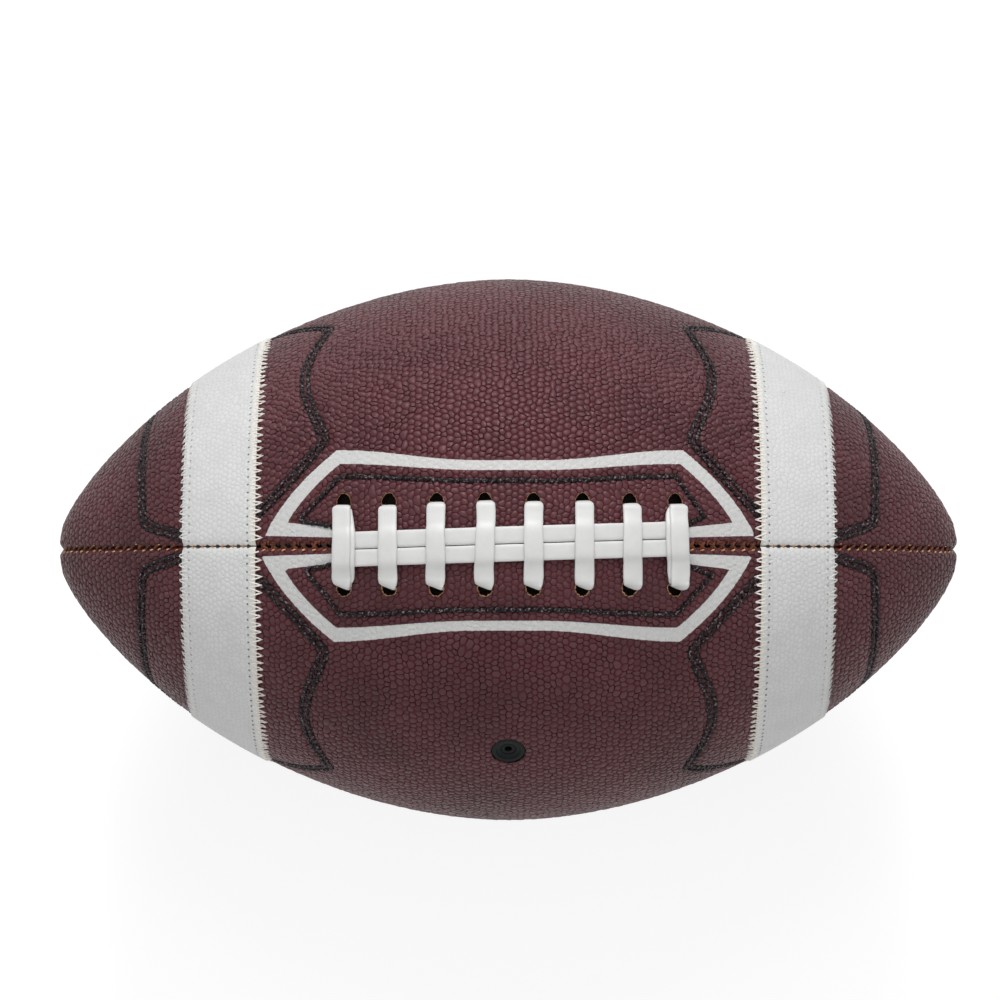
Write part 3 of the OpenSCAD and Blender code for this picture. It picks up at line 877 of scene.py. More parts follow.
@dataclass(frozen=True)
class LaceLayout:
    """Where the laces, their holes, their stitched border and the printed band lie on the two lace panels."""

    hole_count: int = 8
    hole_pitch: float = 14.3  # Distance from one hole to the next
    # How far each pair of holes lies from its even place
    hole_shifts: tuple[float, ...] = (1.0, 0.25, 0.15, 0.15, 0.3, 0.55, 0.3, -0.3)
    hole_y: float = 12.9  # Distance from the seam to the middle of a hole
    hole_half_width: float = 2.1  # Half of a hole's width along the seam
    hole_inner: float = 2.6  # Reach of a hole towards the seam
    left_outer: float = 2.7  # Reach of a left hole away from the seam
    right_outer: float = 2.1  # Reach of a right hole away from the seam
    smooth_y: float = 18.0  # Distance from the seam up to which handling has worn the grain
    # Where the stitched border turns back: aft and fore end of the left panel, then of the right
    border_tips: tuple[Spot, ...] = ((62.6, 7.8), (58.8, 8.7), (60.8, 7.4), (61.2, 8.8))
    border_corner: Spot = (50.2, 21.0)  # Corner between its long side and its slanted side
    border_middle_y: float = 19.4  # Distance from the seam to its long side, at the middle of the ball
    border_root: Spot = (52.0, 5.4)  # Where it ends under the laces
    # How far the left band lies towards the fore end, and the right one towards the aft end
    band_shift: float = 0.5
    band_tip: Spot = (73.8, 3.1)  # Outer tip of the printed band
    band_corner: Spot = (51.9, 29.5)
    band_middle_y: float = 25.75  # Distance from the seam to its outer edge, at the middle of the ball
    band_bow: float = 2.3  # How far its slanted side bows outwards
    band_inner_tip: Spot = (66.9, 7.0)
    band_inner_corner: Spot = (51.0, 25.0)
    band_inner_middle_y: float = 22.7  # Distance from the seam to its inner edge, at the middle of the ball
    band_inner_bow: float = 1.3  # How far the inner edge of its slanted side bows outwards
    band_root_x: float = 48.0  # Place of its ends under the laces
    band_root_ys: Spot = (2.3, 4.9)  # Distances of its two edges from the seam there
    # Where a long side begins to bend, as a share of the way from its middle to its corner
    bend_start_share: float = 0.2
    long_points: int = 17  # Points along a long side
    short_points: int = 8  # Points along a slanted side

    def hole_x(self, i: int) -> float:
        """Gives the place of one pair of holes along the ball."""
        return self.hole_pitch * (i - (self.hole_count - 1) / 2) + self.hole_shifts[i]

    def waisted(self, corner: Spot, middle_y: float) -> list[Spot]:
        """Draws the long side between two corners, which draws in towards the seam between them.

        Args:
            corner: The fore corner.
            middle_y: Distance from the seam at the middle of the ball.

        Returns:
            The points, from aft to fore.
        """
        shares = np.linspace(-1, 1, self.long_points)
        rise = smoothstep(self.bend_start_share, 1, np.abs(shares))
        return [(corner[0] * s, middle_y + (corner[1] - middle_y) * r) for s, r in zip(shares, rise)]

    def slanted(self, tip: Spot, corner: Spot, bow: float) -> list[Spot]:
        """Draws the side between a tip and a corner, bowed towards the end of the ball.

        Args:
            tip: The tip.
            corner: The corner.
            bow: How far the side bows.

        Returns:
            The points between the two.
        """
        return [
            (tip[0] + (corner[0] - tip[0]) * s + 4 * bow * s * (1 - s), tip[1] + (corner[1] - tip[1]) * s)
            for s in np.linspace(0, 1, self.short_points)[1:-1]
        ]

    def band_outline(self, side: int) -> Array:
        """Draws the printed band of one panel.

        Args:
            side: 1 for the left panel and -1 for the right one.

        Returns:
            The corners, as distances along the ball and from the seam.
        """
        near, far = self.band_root_ys
        slant = self.slanted(self.band_tip, self.band_corner, self.band_bow)
        inner_slant = self.slanted(self.band_inner_tip, self.band_inner_corner, self.band_inner_bow)
        outer = [*slant[::-1], self.band_tip, (self.band_root_x, near)]
        inner = [(self.band_root_x, far), self.band_inner_tip, *inner_slant]
        outline = self.waisted(self.band_corner, self.band_middle_y) + outer + inner
        outline += self.waisted(self.band_inner_corner, self.band_inner_middle_y)[::-1]
        outline += [(-x, y) for x, y in inner[::-1] + outer[::-1]]
        return np.array(outline) + [side * self.band_shift, 0]

    def border_route(self, ball: BallShape, side: int) -> Route:
        """Draws the stitched border of one panel.

        Args:
            ball: The ball.
            side: 1 for the left panel and -1 for the right one.

        Returns:
            The line of stitches, from root to root.
        """
        aft_tip, fore_tip = self.border_tips[:2] if side > 0 else self.border_tips[2:]
        root_x, root_y = self.border_root
        long_side = self.waisted(self.border_corner, self.border_middle_y)
        flat = np.array([(-root_x, root_y), (-aft_tip[0], aft_tip[1]), *long_side, fore_tip, (root_x, root_y)])
        pieces = [np.linspace(a, b, self.short_points, endpoint=False) for a, b in zip(flat[:-1], flat[1:])]
        x, y = np.concatenate([*pieces, flat[-1:]]).T
        return Route(x, side * y / ball.radius(x))


class Nodes:
    """Adds and links the shader nodes of one material or world.

    Args:
        owner: The new material or world.
    """

    noise_span: Spot = (0.3, 0.7)

    def __init__(self, owner: Material | bpy.types.World) -> None:
        """Starts with the owner's own nodes and with one for places."""
        owner.use_nodes = True
        self.owner, self.tree = owner, owner.node_tree
        self.places = self.add("ShaderNodeTexCoord").outputs

    def put(self, socket: Socket, value: Input) -> None:
        """Links a socket to another, or sets its value.

        Args:
            socket: The socket.
            value: The other socket, or the value.
        """
        if isinstance(value, bpy.types.NodeSocket):
            self.tree.links.new(value, socket)
        else:
            socket.default_value = value

    def add(self, kind: str, inputs: dict[str | int, Input] | None = None, **settings: str) -> bpy.types.Node:
        """Adds one node.

        Args:
            kind: The node's type.
            inputs: Values or sockets for its inputs, by name or number.
            **settings: Its own settings.

        Returns:
            The node.
        """
        node = self.tree.nodes.new(kind)
        for name, value in settings.items():
            setattr(node, name, value)
        for name, value in (inputs or {}).items():
            self.put(node.inputs[name], value)
        return node

    def named(self, name: str) -> Socket:
        """Reads a named value of the mesh."""
        return self.add("ShaderNodeAttribute", attribute_name=name).outputs["Fac"]

    def noise(self, scale: float, detail: float = 2) -> Socket:
        """Gives noise, with its scale in features per metre."""
        inputs = {"Vector": self.places["Object"], "Scale": scale, "Detail": detail}
        return self.add("ShaderNodeTexNoise", inputs).outputs["Fac"]

    def ramp(self, value: Input, low: float, high: float, start: float = 0, end: float = 1) -> Socket:
        """Maps a value from low and high to start and end, held beyond them."""
        inputs = {"Value": value, "From Min": low, "From Max": high, "To Min": start, "To Max": end}
        return self.add("ShaderNodeMapRange", inputs).outputs["Result"]

    def spread(self, noise: Socket, start: float, end: float) -> Socket:
        """Maps the usual values of noise to start and end."""
        return self.ramp(noise, *self.noise_span, start, end)

    def maths(self, operation: str, first: Input, second: Input = 0.0) -> Socket:
        """Works out one sum."""
        return self.add("ShaderNodeMath", {0: first, 1: second}, operation=operation).outputs[0]

    def mix(self, share: Input, first: Input, second: Input) -> Socket:
        """Mixes two colours."""
        return self.add("ShaderNodeMix", {0: share, 6: first, 7: second}, data_type="RGBA").outputs[2]

    def cover(self, under: Input, over: Input, value: Socket, span: Spot, share: float = 1) -> Socket:
        """Lays a colour over another, with its full share where a value has risen through a span."""
        return self.mix(self.ramp(value, *span, 0, share), under, over)

    def bump(self, height: Socket, distance: float) -> Socket:
        """Raises fine relief, with its height in metres."""
        inputs = {"Height": height, "Distance": distance, "Strength": 1.0}
        return self.add("ShaderNodeBump", inputs).outputs["Normal"]

    def seen(self) -> Socket:
        """Tells rays that come from the camera, straight, in a reflection or through glass.

        Returns:
            1 for those rays and 0 for all others.
        """
        rays = self.add("ShaderNodeLightPath").outputs
        found = self.maths("MAXIMUM", rays["Is Camera Ray"], rays["Is Glossy Ray"])
        return self.maths("MAXIMUM", found, rays["Is Transmission Ray"])

    def finish(self, colour: Input, roughness: Input, normal: Socket, **values: Input) -> Material:
        """Sets the shader.

        Args:
            colour: Base colour.
            roughness: Roughness.
            normal: Normal of the fine relief.
            **values: The shader's other values, with underscores for the spaces in their names.

        Returns:
            The finished material.
        """
        given = {"Base_Color": colour, "Roughness": roughness, "Normal": normal, **values}
        for name, value in given.items():
            self.put(self.tree.nodes["Principled BSDF"].inputs[name.replace("_", " ")], value)
        return self.owner


@dataclass(frozen=True)
class Clouds:
    """Soft patches in which a second colour shows."""

    scale: float  # Fineness, in features per metre
    detail: float  # Detail of their outlines
    span: Spot  # Noise values at which a patch begins and is full
    share: float = 1.0  # How strongly the second colour shows

    def over(self, n: Nodes, colour: Input, second: Input) -> Socket:
        """Lays the patches over a colour."""
        return n.cover(colour, second, n.noise(self.scale, self.detail), self.span, self.share)


@dataclass(frozen=True)
class SeamHoles:
    """The needle holes along the seams, painted on as dark shade."""

    pitch: float
    width: float  # Half of a hole's width across the seam
    line: float = 0.0  # Half of the width of the painted dark line of shade between the holes
    ragged_scale: float = 700  # Fineness of their ragged ends, in features per metre
    ragged: float = 0.35  # How ragged they are
    wave_span: Spot = (0.1, 0.9)  # Heights of the wave along the seam at which a hole begins and is full
    soft: Spot = (-0.05, 0.12)  # Distances from its edge, below zero inside, over which a hole fades

    def over(self, n: Nodes, colour: Input, shade: Input, axis_height: float) -> Socket:
        """Paints the holes' shade over a colour.

        Args:
            n: The material's nodes.
            colour: The colour.
            shade: Colour of the holes' painted shade.
            axis_height: Height of the ball's axis over the ground.

        Returns:
            The colour with the holes' painted shade.
        """
        parts = n.add("ShaderNodeSeparateXYZ", {"Vector": n.places["Object"]}).outputs
        up = n.maths("SUBTRACT", parts["Z"], axis_height * MM)
        beside = n.maths("MINIMUM", n.maths("ABSOLUTE", parts["Y"]), n.maths("ABSOLUTE", up))
        wave = n.maths("COSINE", n.maths("MULTIPLY", n.named("run"), 2 * math.pi / self.pitch))
        ragged = n.spread(n.noise(self.ragged_scale, 1), -self.ragged, self.ragged)
        reach = n.ramp(n.maths("ADD", wave, ragged), *self.wave_span, self.line * MM, self.width * MM)
        away = n.maths("SUBTRACT", beside, reach)
        return n.mix(n.ramp(away, self.soft[0] * MM, self.soft[1] * MM, 1, 0), colour, shade)


@dataclass(frozen=True)
class LeatherFinish:
    """Pebbled leather: greyish bump tops lightened with painted sheen, redder valleys darkened with painted
    shade, raw edges down in the seams and a printed band.
    """

    top: Colour = srgb(85, 54, 58)  # Colour of the bumps, lightened with painted sheen
    # Redder colour of the valleys, darkened with painted shade
    valley: Colour = srgb(67, 20, 24)
    stain: Colour = srgb(32, 18, 20)  # Colour of the darker clouds, and of the painted shade along the stitches
    raw: Colour = srgb(108, 50, 34)  # Colour of the raw edge in a seam
    raw_second: Colour = srgb(66, 27, 22)  # Second colour of the raw edge
    shade: Colour = srgb(10, 6, 6)  # Painted shade of the needle holes in a seam
    paint: Colour = srgb(200, 201, 200)  # Colour of the printed band
    paint_speck: Colour = srgb(158, 160, 160)
    reflection: Colour = (1.0, 0.62, 0.67, 1.0)  # Tint of the topcoat's reflections
    specular: float = 0.3  # Strength of those reflections
    holes: SeamHoles = SeamHoles(3.4, 0.7)  # The needle holes in the seams, painted as shade
    stains: Clouds = Clouds(38, 3, (0.4, 0.68), 0.45)  # The darker clouds
    reddened: Clouds = Clouds(420, 2, (0.45, 0.7), 0.4)  # Patches of the valleys' colour on the bumps
    specks: Clouds = Clouds(3000, 1, (0.56, 0.7), 0.6)
    rise_span: Spot = (0.12, 0.8)  # Heights over which the bumps' painted-sheen colour takes over from the valleys' painted-shade colour
    sewn_span: Spot = (0.2, 0.8)  # Closeness to the stitches over which painted shade darkens the leather
    sewn_share: float = 0.8  # How dark the painted shade gets there
    raw_span: Spot = (0.4, 0.75)  # Depths of a groove over which the leather gives way to its raw edge
    open_depth: float = 0.4  # How much deeper an open stretch of the seam counts
    fine_scale: float = 2600  # Fineness of the pores, in features per metre
    pore_depth: float = 0.00006
    roughness: Spot = (0.35, 0.47)

    def build(self, axis_height: float) -> Material:
        """Builds the material.

        Args:
            axis_height: Height of the ball's axis over the ground.

        Returns:
            The material.
        """
        n = Nodes(bpy.data.materials.new("pebbled_leather"))
        fine, frayed = n.noise(self.fine_scale, 3), n.noise(1100, 2)
        # Painted shade in the valleys and painted sheen on the bump tops, over the leather's own redder valleys
        skin = n.cover(self.valley, self.top, n.named("rise"), self.rise_span)
        skin = self.reddened.over(n, self.stains.over(n, skin, self.stain), self.valley)
        # Painted shade along the stitch dents
        skin = n.cover(skin, self.stain, n.named("sewn"), self.sewn_span, self.sewn_share)
        raw = n.cover(self.raw, self.raw_second, frayed, (0.42, 0.6))
        rawness = n.maths("ADD", n.named("groove"), n.spread(n.noise(800, 2), -0.2, 0.2))
        rawness = n.maths("ADD", rawness, n.maths("MULTIPLY", n.named("open"), self.open_depth))
        skin = n.cover(skin, raw, rawness, self.raw_span)
        edge = n.maths("ADD", n.named("band"), n.spread(frayed, -0.06, 0.06))
        skin = n.mix(n.ramp(edge, -0.05, 0.05, 1, 0), skin, self.specks.over(n, self.paint, self.paint_speck))
        shine = {"Specular_IOR_Level": self.specular, "Specular_Tint": self.reflection}
        # Painted shade of the needle holes in the seams
        colour = self.holes.over(n, skin, self.shade, axis_height)
        return n.finish(colour, n.spread(fine, *self.roughness), n.bump(fine, self.pore_depth), **shine)


@dataclass(frozen=True)
class PlainFinish:
    """A finish of one colour broken up by fine noise and soft clouds."""

    name: str
    colour: Colour
    second: Colour  # Colour of the clouds
    roughness: float = 0.6
    grain_scale: float = 1800  # Fineness of the relief, in features per metre
    relief: float = 0.00004  # Height of the relief, in metres
    cloud_scale: float = 120  # Fineness of the clouds, in features per metre
    cloud_share: float = 0.6
    cloud_range: Spot = (0.38, 0.66)  # Noise values at which a cloud begins and is full
    sheen: float = 0.0
    specular: float = 0.5  # Strength of the reflections
    uneven: float = 0.08  # How far the roughness strays from its mean

    def build(self) -> Material:
        """Builds the material.

        Returns:
            The material.
        """
        n = Nodes(bpy.data.materials.new(self.name))
        fine = n.noise(self.grain_scale, 3)
        clouds = Clouds(self.cloud_scale, 3, self.cloud_range, self.cloud_share)
        rough = n.spread(fine, self.roughness - self.uneven, self.roughness + self.uneven)
        shine = {"Sheen_Weight": self.sheen, "Specular_IOR_Level": self.specular}
        return n.finish(clouds.over(n, self.colour, self.second), rough, n.bump(fine, self.relief), **shine)


@dataclass(frozen=True)
class StripeFinish:
    """White coated stripe with a fine grain and needle holes painted as dark shade."""

    white: Colour = srgb(212, 213, 212)  # Colour of the coat
    valley: Colour = srgb(198, 199, 198)  # Colour of the valleys of its grain
    needle: Colour = srgb(52, 44, 42)  # Painted shade of the zigzag's needle holes
    fold: Colour = srgb(220, 214, 198)  # Colour of the fold along the near edge
    # Painted shade of the seam's needle holes and of the line between them
    seam: Colour = srgb(74, 58, 50)
    holes: SeamHoles = SeamHoles(3.7, 0.55, 0.14)  # The seam's needle holes, painted as shade
    clouds: Clouds = Clouds(160, 3, (0.4, 0.7), 0.5)  # Patches of the valleys' colour
    needle_reach: float = 2.3  # Distance of the zigzag's holes from the stripe's edge
    needle_pitch: float = 2.5  # Distance between them
    needle_radius: float = 0.3
    needle_soft: Spot = (0.6, 1.4)  # How far its edge fades, as shares of that radius
    # How dark the holes' painted shade is, along each edge
    needle_shares: tuple[tuple[str, float], ...] = (("near", 0.9), ("far", 0.55))
    rise_span: Spot = (0.1, 0.6)  # Heights over which the coat's colour takes over from the valleys'
    fold_span: Spot = (0.8, 1.3)  # Distances from the near edge over which the fold fades
    fold_share: float = 0.5  # How strongly the fold shows
    fine_scale: float = 3000  # Fineness of the relief, in features per metre
    relief: float = 0.00003  # Height of the relief, in metres
    roughness: Spot = (0.5, 0.62)

    def build(self, axis_height: float) -> Material:
        """Builds the material.

        Args:
            axis_height: Height of the ball's axis over the ground.

        Returns:
            The material.
        """
        n = Nodes(bpy.data.materials.new("stripe_coat"))
        fine = n.noise(self.fine_scale, 2)
        colour = n.cover(self.valley, self.white, n.named("rise"), self.rise_span)
        colour = self.clouds.over(n, colour, self.valley)
        colour = n.mix(n.ramp(n.named("near_edge"), *self.fold_span, self.fold_share, 0), colour, self.fold)
        # Painted shade of the zigzag's needle holes, along each edge
        for edge, strength in self.needle_shares:
            stitch = n.named(f"{edge}_stitch")
            along = n.maths("SUBTRACT", stitch, n.maths("ROUND", stitch))
            along = n.maths("MULTIPLY", along, self.needle_pitch)
            inward = n.maths("SUBTRACT", n.named(f"{edge}_edge"), self.needle_reach)
            away = n.maths("SQRT", n.maths("ADD", *(n.maths("MULTIPLY", way, way) for way in (along, inward))))
            clear, full = (self.needle_radius * share for share in self.needle_soft)
            colour = n.mix(n.ramp(away, clear, full, strength, 0), colour, self.needle)
        colour = self.holes.over(n, colour, self.seam, axis_height)
        return n.finish(colour, n.spread(fine, *self.roughness), n.bump(fine, self.relief))


@dataclass(frozen=True)
class ClothFinish:
    """Woven cloth."""

    name: str
    warp: Colour  # Colour of the raised threads
    weft: Colour  # Colour between them
    threads: float = 1400  # Fineness of the weave, in features per metre
    relief: float = 0.0001  # Height of the weave, in metres
    roughness: Spot = (0.95, 0.8)  # Roughness between the threads and on them

    def build(self) -> Material:
        """Builds the material.

        Returns:
            The material.
        """
        n = Nodes(bpy.data.materials.new(self.name))
        inputs = {"Vector": n.places["Object"], "Scale": self.threads, "Distortion": 0.6, "Detail": 1.0}
        waves = [n.add("ShaderNodeTexWave", inputs, bands_direction=way) for way in ("X", "DIAGONAL")]
        weave = n.maths("MULTIPLY", *(wave.outputs["Fac"] for wave in waves))
        rough = n.ramp(weave, 0, 1, *self.roughness)
        return n.finish(n.mix(weave, self.weft, self.warp), rough, n.bump(weave, self.relief), Sheen_Weight=0.2)


class Finishes:
    """All the materials, built once.

    Args:
        ball: The ball.
    """

    def __init__(self, ball: BallShape) -> None:
        """Builds them."""
        self.leather = LeatherFinish().build(ball.axis_height)
        self.stripe = StripeFinish().build(ball.axis_height)
        self.lining = ClothFinish("lining_cloth", srgb(206, 200, 184), srgb(176, 168, 150)).build()
        self.raw_edge = PlainFinish(
            "raw_leather_edge", srgb(192, 150, 100), srgb(132, 88, 54), 0.85, 2400, 0.00012, 500
        ).build()
        self.hole = PlainFinish("dark_hole_wall", srgb(20, 17, 16), srgb(12, 10, 10), 0.8, specular=0.1).build()
        self.suede = PlainFinish(
            "suede_back", srgb(150, 112, 82), srgb(118, 84, 58), 0.92, 2000, 0.00012, 200, sheen=0.3
        ).build()
        self.lace = PlainFinish(
            "lace_vinyl", srgb(214, 214, 213), srgb(204, 204, 203), 0.48, 2600, 0.00003, 260, 0.5
        ).build()
        self.black_thread = PlainFinish(
            "black_thread", srgb(22, 17, 19), srgb(138, 122, 126), 0.5, 4200, 0.00008, 1500, 0.85, (0.56, 0.66),
            specular=0.16,
        ).build()
        self.white_thread = PlainFinish(
            "white_thread", srgb(226, 225, 223), srgb(206, 204, 200), 0.7, 4200, 0.00006, 500, sheen=0.2
        ).build()
        self.cream_thread = PlainFinish(
            "cream_thread", srgb(232, 230, 226), srgb(224, 217, 205), 0.7, 4200, 0.00006, 500, 0.7, sheen=0.2
        ).build()
        self.brown_thread = PlainFinish(
            "brown_thread", srgb(108, 56, 34), srgb(52, 26, 18), 0.7, 3600, 0.0001, 420, 1.0,
            sheen=0.1, specular=0.2,
        ).build()
        self.tan_thread = PlainFinish(
            "tan_thread", srgb(206, 160, 108), srgb(160, 104, 62), 0.7, 3600, 0.0001, 500, 0.9, sheen=0.2
        ).build()
        self.rubber = PlainFinish(
            "valve_rubber", srgb(16, 19, 20), srgb(12, 14, 15), 0.5, 2200, 0.00003, 300, specular=0.14
        ).build()
        self.bladder = PlainFinish(
            "bladder_rubber", srgb(24, 24, 26), srgb(34, 32, 34), 0.55, 900, 0.00005, 60
        ).build()
        self.facing = PlainFinish(
            "facing_leather", srgb(116, 78, 50), srgb(90, 58, 36), 0.88, 2000, 0.00012, 200, sheen=0.2
        ).build()
        self.tongue = PlainFinish(
            "tongue_leather", srgb(40, 30, 26), srgb(28, 22, 20), 0.85, 1600, 0.0001, 160
        ).build()


@dataclass(kw_only=True)
class LeatherPanel(GrainedSkin):
    """One leather panel, with its stitches pressed into it and, by the laces, its holes and printed band."""

    layout: LaceLayout
    stitch_lines: list[Route]  # The lines of stitches on this panel
    sample_step: float = 0.5  # Distance between the points that stand for those lines
    thickness: float = 2.0
    edge_thickness: float = 1.5  # Thickness of its turned-in edges
    edge_depth: float = 3.4  # How deep those reach
    tip_radius: float = 1.0  # Radius of the ball at which the panel ends
    channel_depth: float = 0.55  # How deep the stitches press in
    channel_width: float = 1.1  # Width of their dent
    channel_reach: float = 3  # Reach of the dent, in widths
    open_gap: float = 0.55  # How far the lace seam gapes between the laces and the stripes
    # Distances from the middle at which it begins to gape, gapes fully, begins to close and is shut
    open_ends: tuple[float, ...] = (50.0, 54.0, 72.0, 76.0)
    open_reach: Spot = (1.2, 2.4)  # Distances from the seam over which its sides end
    worn_share: float = 0.25  # How far handling has worn the grain by the laces
    # Distances from the seam over which the wear fades, as shares of the layout's
    worn_reach: Spot = (0.8, 1.4)
    worn_ends: Spot = (56, 66)  # Distances from the middle over which it fades
    printed_share: float = 0.7  # How far the paint fills the grain
    printed_fade: float = 0.6  # Distance over which that ends beside the band
    far_away: float = 10.0  # Distance that stands for no band at all
    # Depths of a hole's tool: over the ball, at the leather's face, and inside
    cut_depths: tuple[float, ...] = (-3.0, -0.1, 12.0)
    frayed: Spot = (0.1, 0.22)  # How ragged the left and the right holes are
    flares: Spot = (0.24, 0.39)  # How far the left and the right holes widen at the face
    spread: float = 0.6  # How much wider a lace hole's tool is over the ball
    rim_depth: float = 0.45  # Depth at which a lace hole has its plain width
    squareness: float = 0.25  # How square the outer end of a lace hole is
    valve_rim_depth: float = 0.3  # Depth at which the valve's hole has its plain width
    hole_points: int = 40
    valve_points: int = 48  # Points round the valve's hole

    def __post_init__(self) -> None:
        """Starts the random draws and marks the stitch lines by points."""
        super().__post_init__()
        lines = [route.spaced(self.ball, self.sample_step) for route in self.stitch_lines]
        self.samples = np.concatenate([line.points(self.ball) for line in lines])

    def ends(self) -> Spot:
        """Ends the leather where the ball gets too thin for it.

        Returns:
            Distances from the middle of the ball.
        """
        places = self.ball.run_table()[0]
        tip = float(places[self.ball.radius(places) > self.tip_radius].max())
        return -tip, tip

    def gaping(self, x: Array) -> Array:
        """Gives how far the lace seam gapes at distances from the middle, as a share."""
        first, full, last, none = self.open_ends
        return smoothstep(first, full, np.abs(x)) * (1 - smoothstep(last, none, np.abs(x)))

    def edges(self, x: Array) -> tuple[Array, Array]:
        """Lets the lace seam gape between the laces and the stripes.

        Args:
            x: Distances from the middle of the ball.

        Returns:
            Distances of the two edges from their seams.
        """
        start, end = super().edges(x)
        gape = self.open_gap * self.gaping(x)
        return start + gape * (self.panel is Panel.LACE_LEFT), end + gape * (self.panel is Panel.LACE_RIGHT)

    def pressed(self, x: Array, angle: Array) -> Array:
        """Gives how hard the stitches press on the leather, from 0 to 1."""
        gap = distance_to(self.ball.point(x, angle), self.samples, self.channel_reach * self.channel_width)
        return np.exp(-((gap / self.channel_width) ** 2))

    def outer_height(self, x: Array, angle: Array) -> Array:
        """Presses the seams and the stitches into the leather."""
        return -self.ball.groove(x, angle) - self.channel_depth * self.pressed(x, angle)

    def around(self, x: Array, angle: Array) -> Array:
        """Gives the distance round the ball from the lace seam."""
        return self.ball.radius(x) * np.abs((angle + math.pi) % (2 * math.pi) - math.pi)

    def from_band(self, x: Array, angle: Array) -> Array:
        """Gives the distance from the printed band's outline.

        Args:
            x: Distances from the middle of the ball.
            angle: Angles from the lace seam.

        Returns:
            The distances, below zero on the band.
        """
        if not self.panel.has_laces:
            return np.full(len(x), self.far_away)
        return signed_distance(x, self.around(x, angle), self.layout.band_outline(self.panel.side))

    def marks(self, x: Array, angle: Array) -> dict[str, tuple[Array, float]]:
        """Marks the printed band, the leather beside the stitches, which gets painted shade, and the open
        stretches of the lace seam.

        Args:
            x: Distances from the middle of the ball.
            angle: Angles from the lace seam.

        Returns:
            Values of the outer face and of the inner faces, by name.
        """
        by_seam = 1 - smoothstep(*self.open_reach, self.around(x, angle))
        return {
            "band": (self.from_band(x, angle), self.far_away),
            "sewn": (self.pressed(x, angle), 0.0),
            "open": (self.gaping(x) * by_seam * self.panel.has_laces, 0.0),
        }

    def relief(self, x: Array, angle: Array) -> Array:
        """Wears the grain by the laces, fills it in the printed band and flattens it in the seams.

        Args:
            x: Distances from the middle of the ball.
            angle: Angles from the lace seam.

        Returns:
            Shares of the grain's height.
        """
        near, far = (self.layout.smooth_y * share for share in self.worn_reach)
        beside = 1 - smoothstep(near, far, self.around(x, angle))
        by_laces = beside * (1 - smoothstep(*self.worn_ends, np.abs(x)))
        printed = 1 - smoothstep(0.0, self.printed_fade, self.from_band(x, angle))
        worn = 1 - self.worn_share * by_laces
        return worn * super().relief(x, angle) * (1 - self.printed_share * printed)

    def ring(self, x: float, near: float) -> list[Spot]:
        """Draws the turned-in edge and the back of the leather.

        Args:
            x: Distance from the middle of the ball.
            near: Distance of the edge from its seam.

        Returns:
            Half a section, from the edge inwards.
        """
        scale = float(self.ball.seam_scale(x))
        far = near + self.edge_thickness * scale
        return [(near, self.edge_depth * scale), (far, self.edge_depth * scale), (far, self.thickness * scale)]

    def hole_cutter(self, i: int, finishes: Finishes) -> Piece:
        """Makes the tool that cuts one lace hole.

        Args:
            i: Number of the hole.
            finishes: The materials.

        Returns:
            The tool, flared at the surface of the leather.
        """
        layout, side = self.layout, self.panel.side
        right = int(side < 0)
        frayed, flare = self.frayed[right], self.flares[right]
        ragged = self.random.uniform(-frayed, frayed, self.hole_points)
        cosine, sine = circle(self.hole_points).T
        outward = sine > 0
        x = layout.hole_half_width * cosine
        y = np.where(outward, (layout.left_outer, layout.right_outer)[right], layout.hole_inner) * sine
        y = y * np.abs(sine) ** (self.squareness * outward)
        size = np.hypot(x, y)
        over, face, inside = self.cut_depths
        grown_over, grown_face = flare + self.spread, flare + ragged * self.spread
        rings = []
        for depth, grown in ((over, grown_over), (face, grown_face), (self.rim_depth, ragged), (inside, 0)):
            ring_x = layout.hole_x(i) + x + x / size * grown
            ring_y = side * (layout.hole_y + y + y / size * grown)
            ring_z = self.ball.axis_height + np.sqrt(self.ball.radius(ring_x) ** 2 - ring_y**2) - depth
            rings.append(np.stack([ring_x, ring_y, ring_z], -1))
        return cutter(f"hole_tool_{i}", rings, [1, 1, 2], [finishes.leather, finishes.raw_edge, finishes.hole])

    def valve_cutter(self, finishes: Finishes) -> Piece:
        """Makes the tool that cuts the valve's hole.

        Args:
            finishes: The materials.

        Returns:
            The tool.
        """
        axis, wheel = spokes(-Valve.turn, self.valve_points)
        over, face, inside = self.cut_depths
        flare, middle = self.flares[0], np.array([0, 0, self.ball.axis_height])
        rings = [
            (Valve.hole_radius + grown) * wheel + middle + axis * (self.ball.belly_radius - depth)
            for depth, grown in ((over, flare), (face, flare), (self.valve_rim_depth, 0), (inside, 0))
        ]
        return cutter("valve_tool", rings, [2, 2, 2], [finishes.leather, finishes.raw_edge, finishes.hole])

    def build(self, finishes: Finishes) -> Piece:
        """Builds the panel and cuts its holes.

        Args:
            finishes: The materials.

        Returns:
            The piece.
        """
        name = f"leather_{self.panel.name.lower()}"
        piece = self.mesh().build(name, [finishes.leather, finishes.suede, finishes.hole])
        tools = []
        if self.panel.has_laces:
            tools += [self.hole_cutter(i, finishes) for i in range(self.layout.hole_count)]
        if self.panel is Panel.LACE_RIGHT:
            tools.append(self.valve_cutter(finishes))
        for tool in tools:
            cut(piece, tool)
        if tools:
            piece.data.set_sharp_from_angle(angle=math.radians(SHARP_DEGREES))
        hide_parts(self.panel.node)
        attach(piece, "root")
        return piece


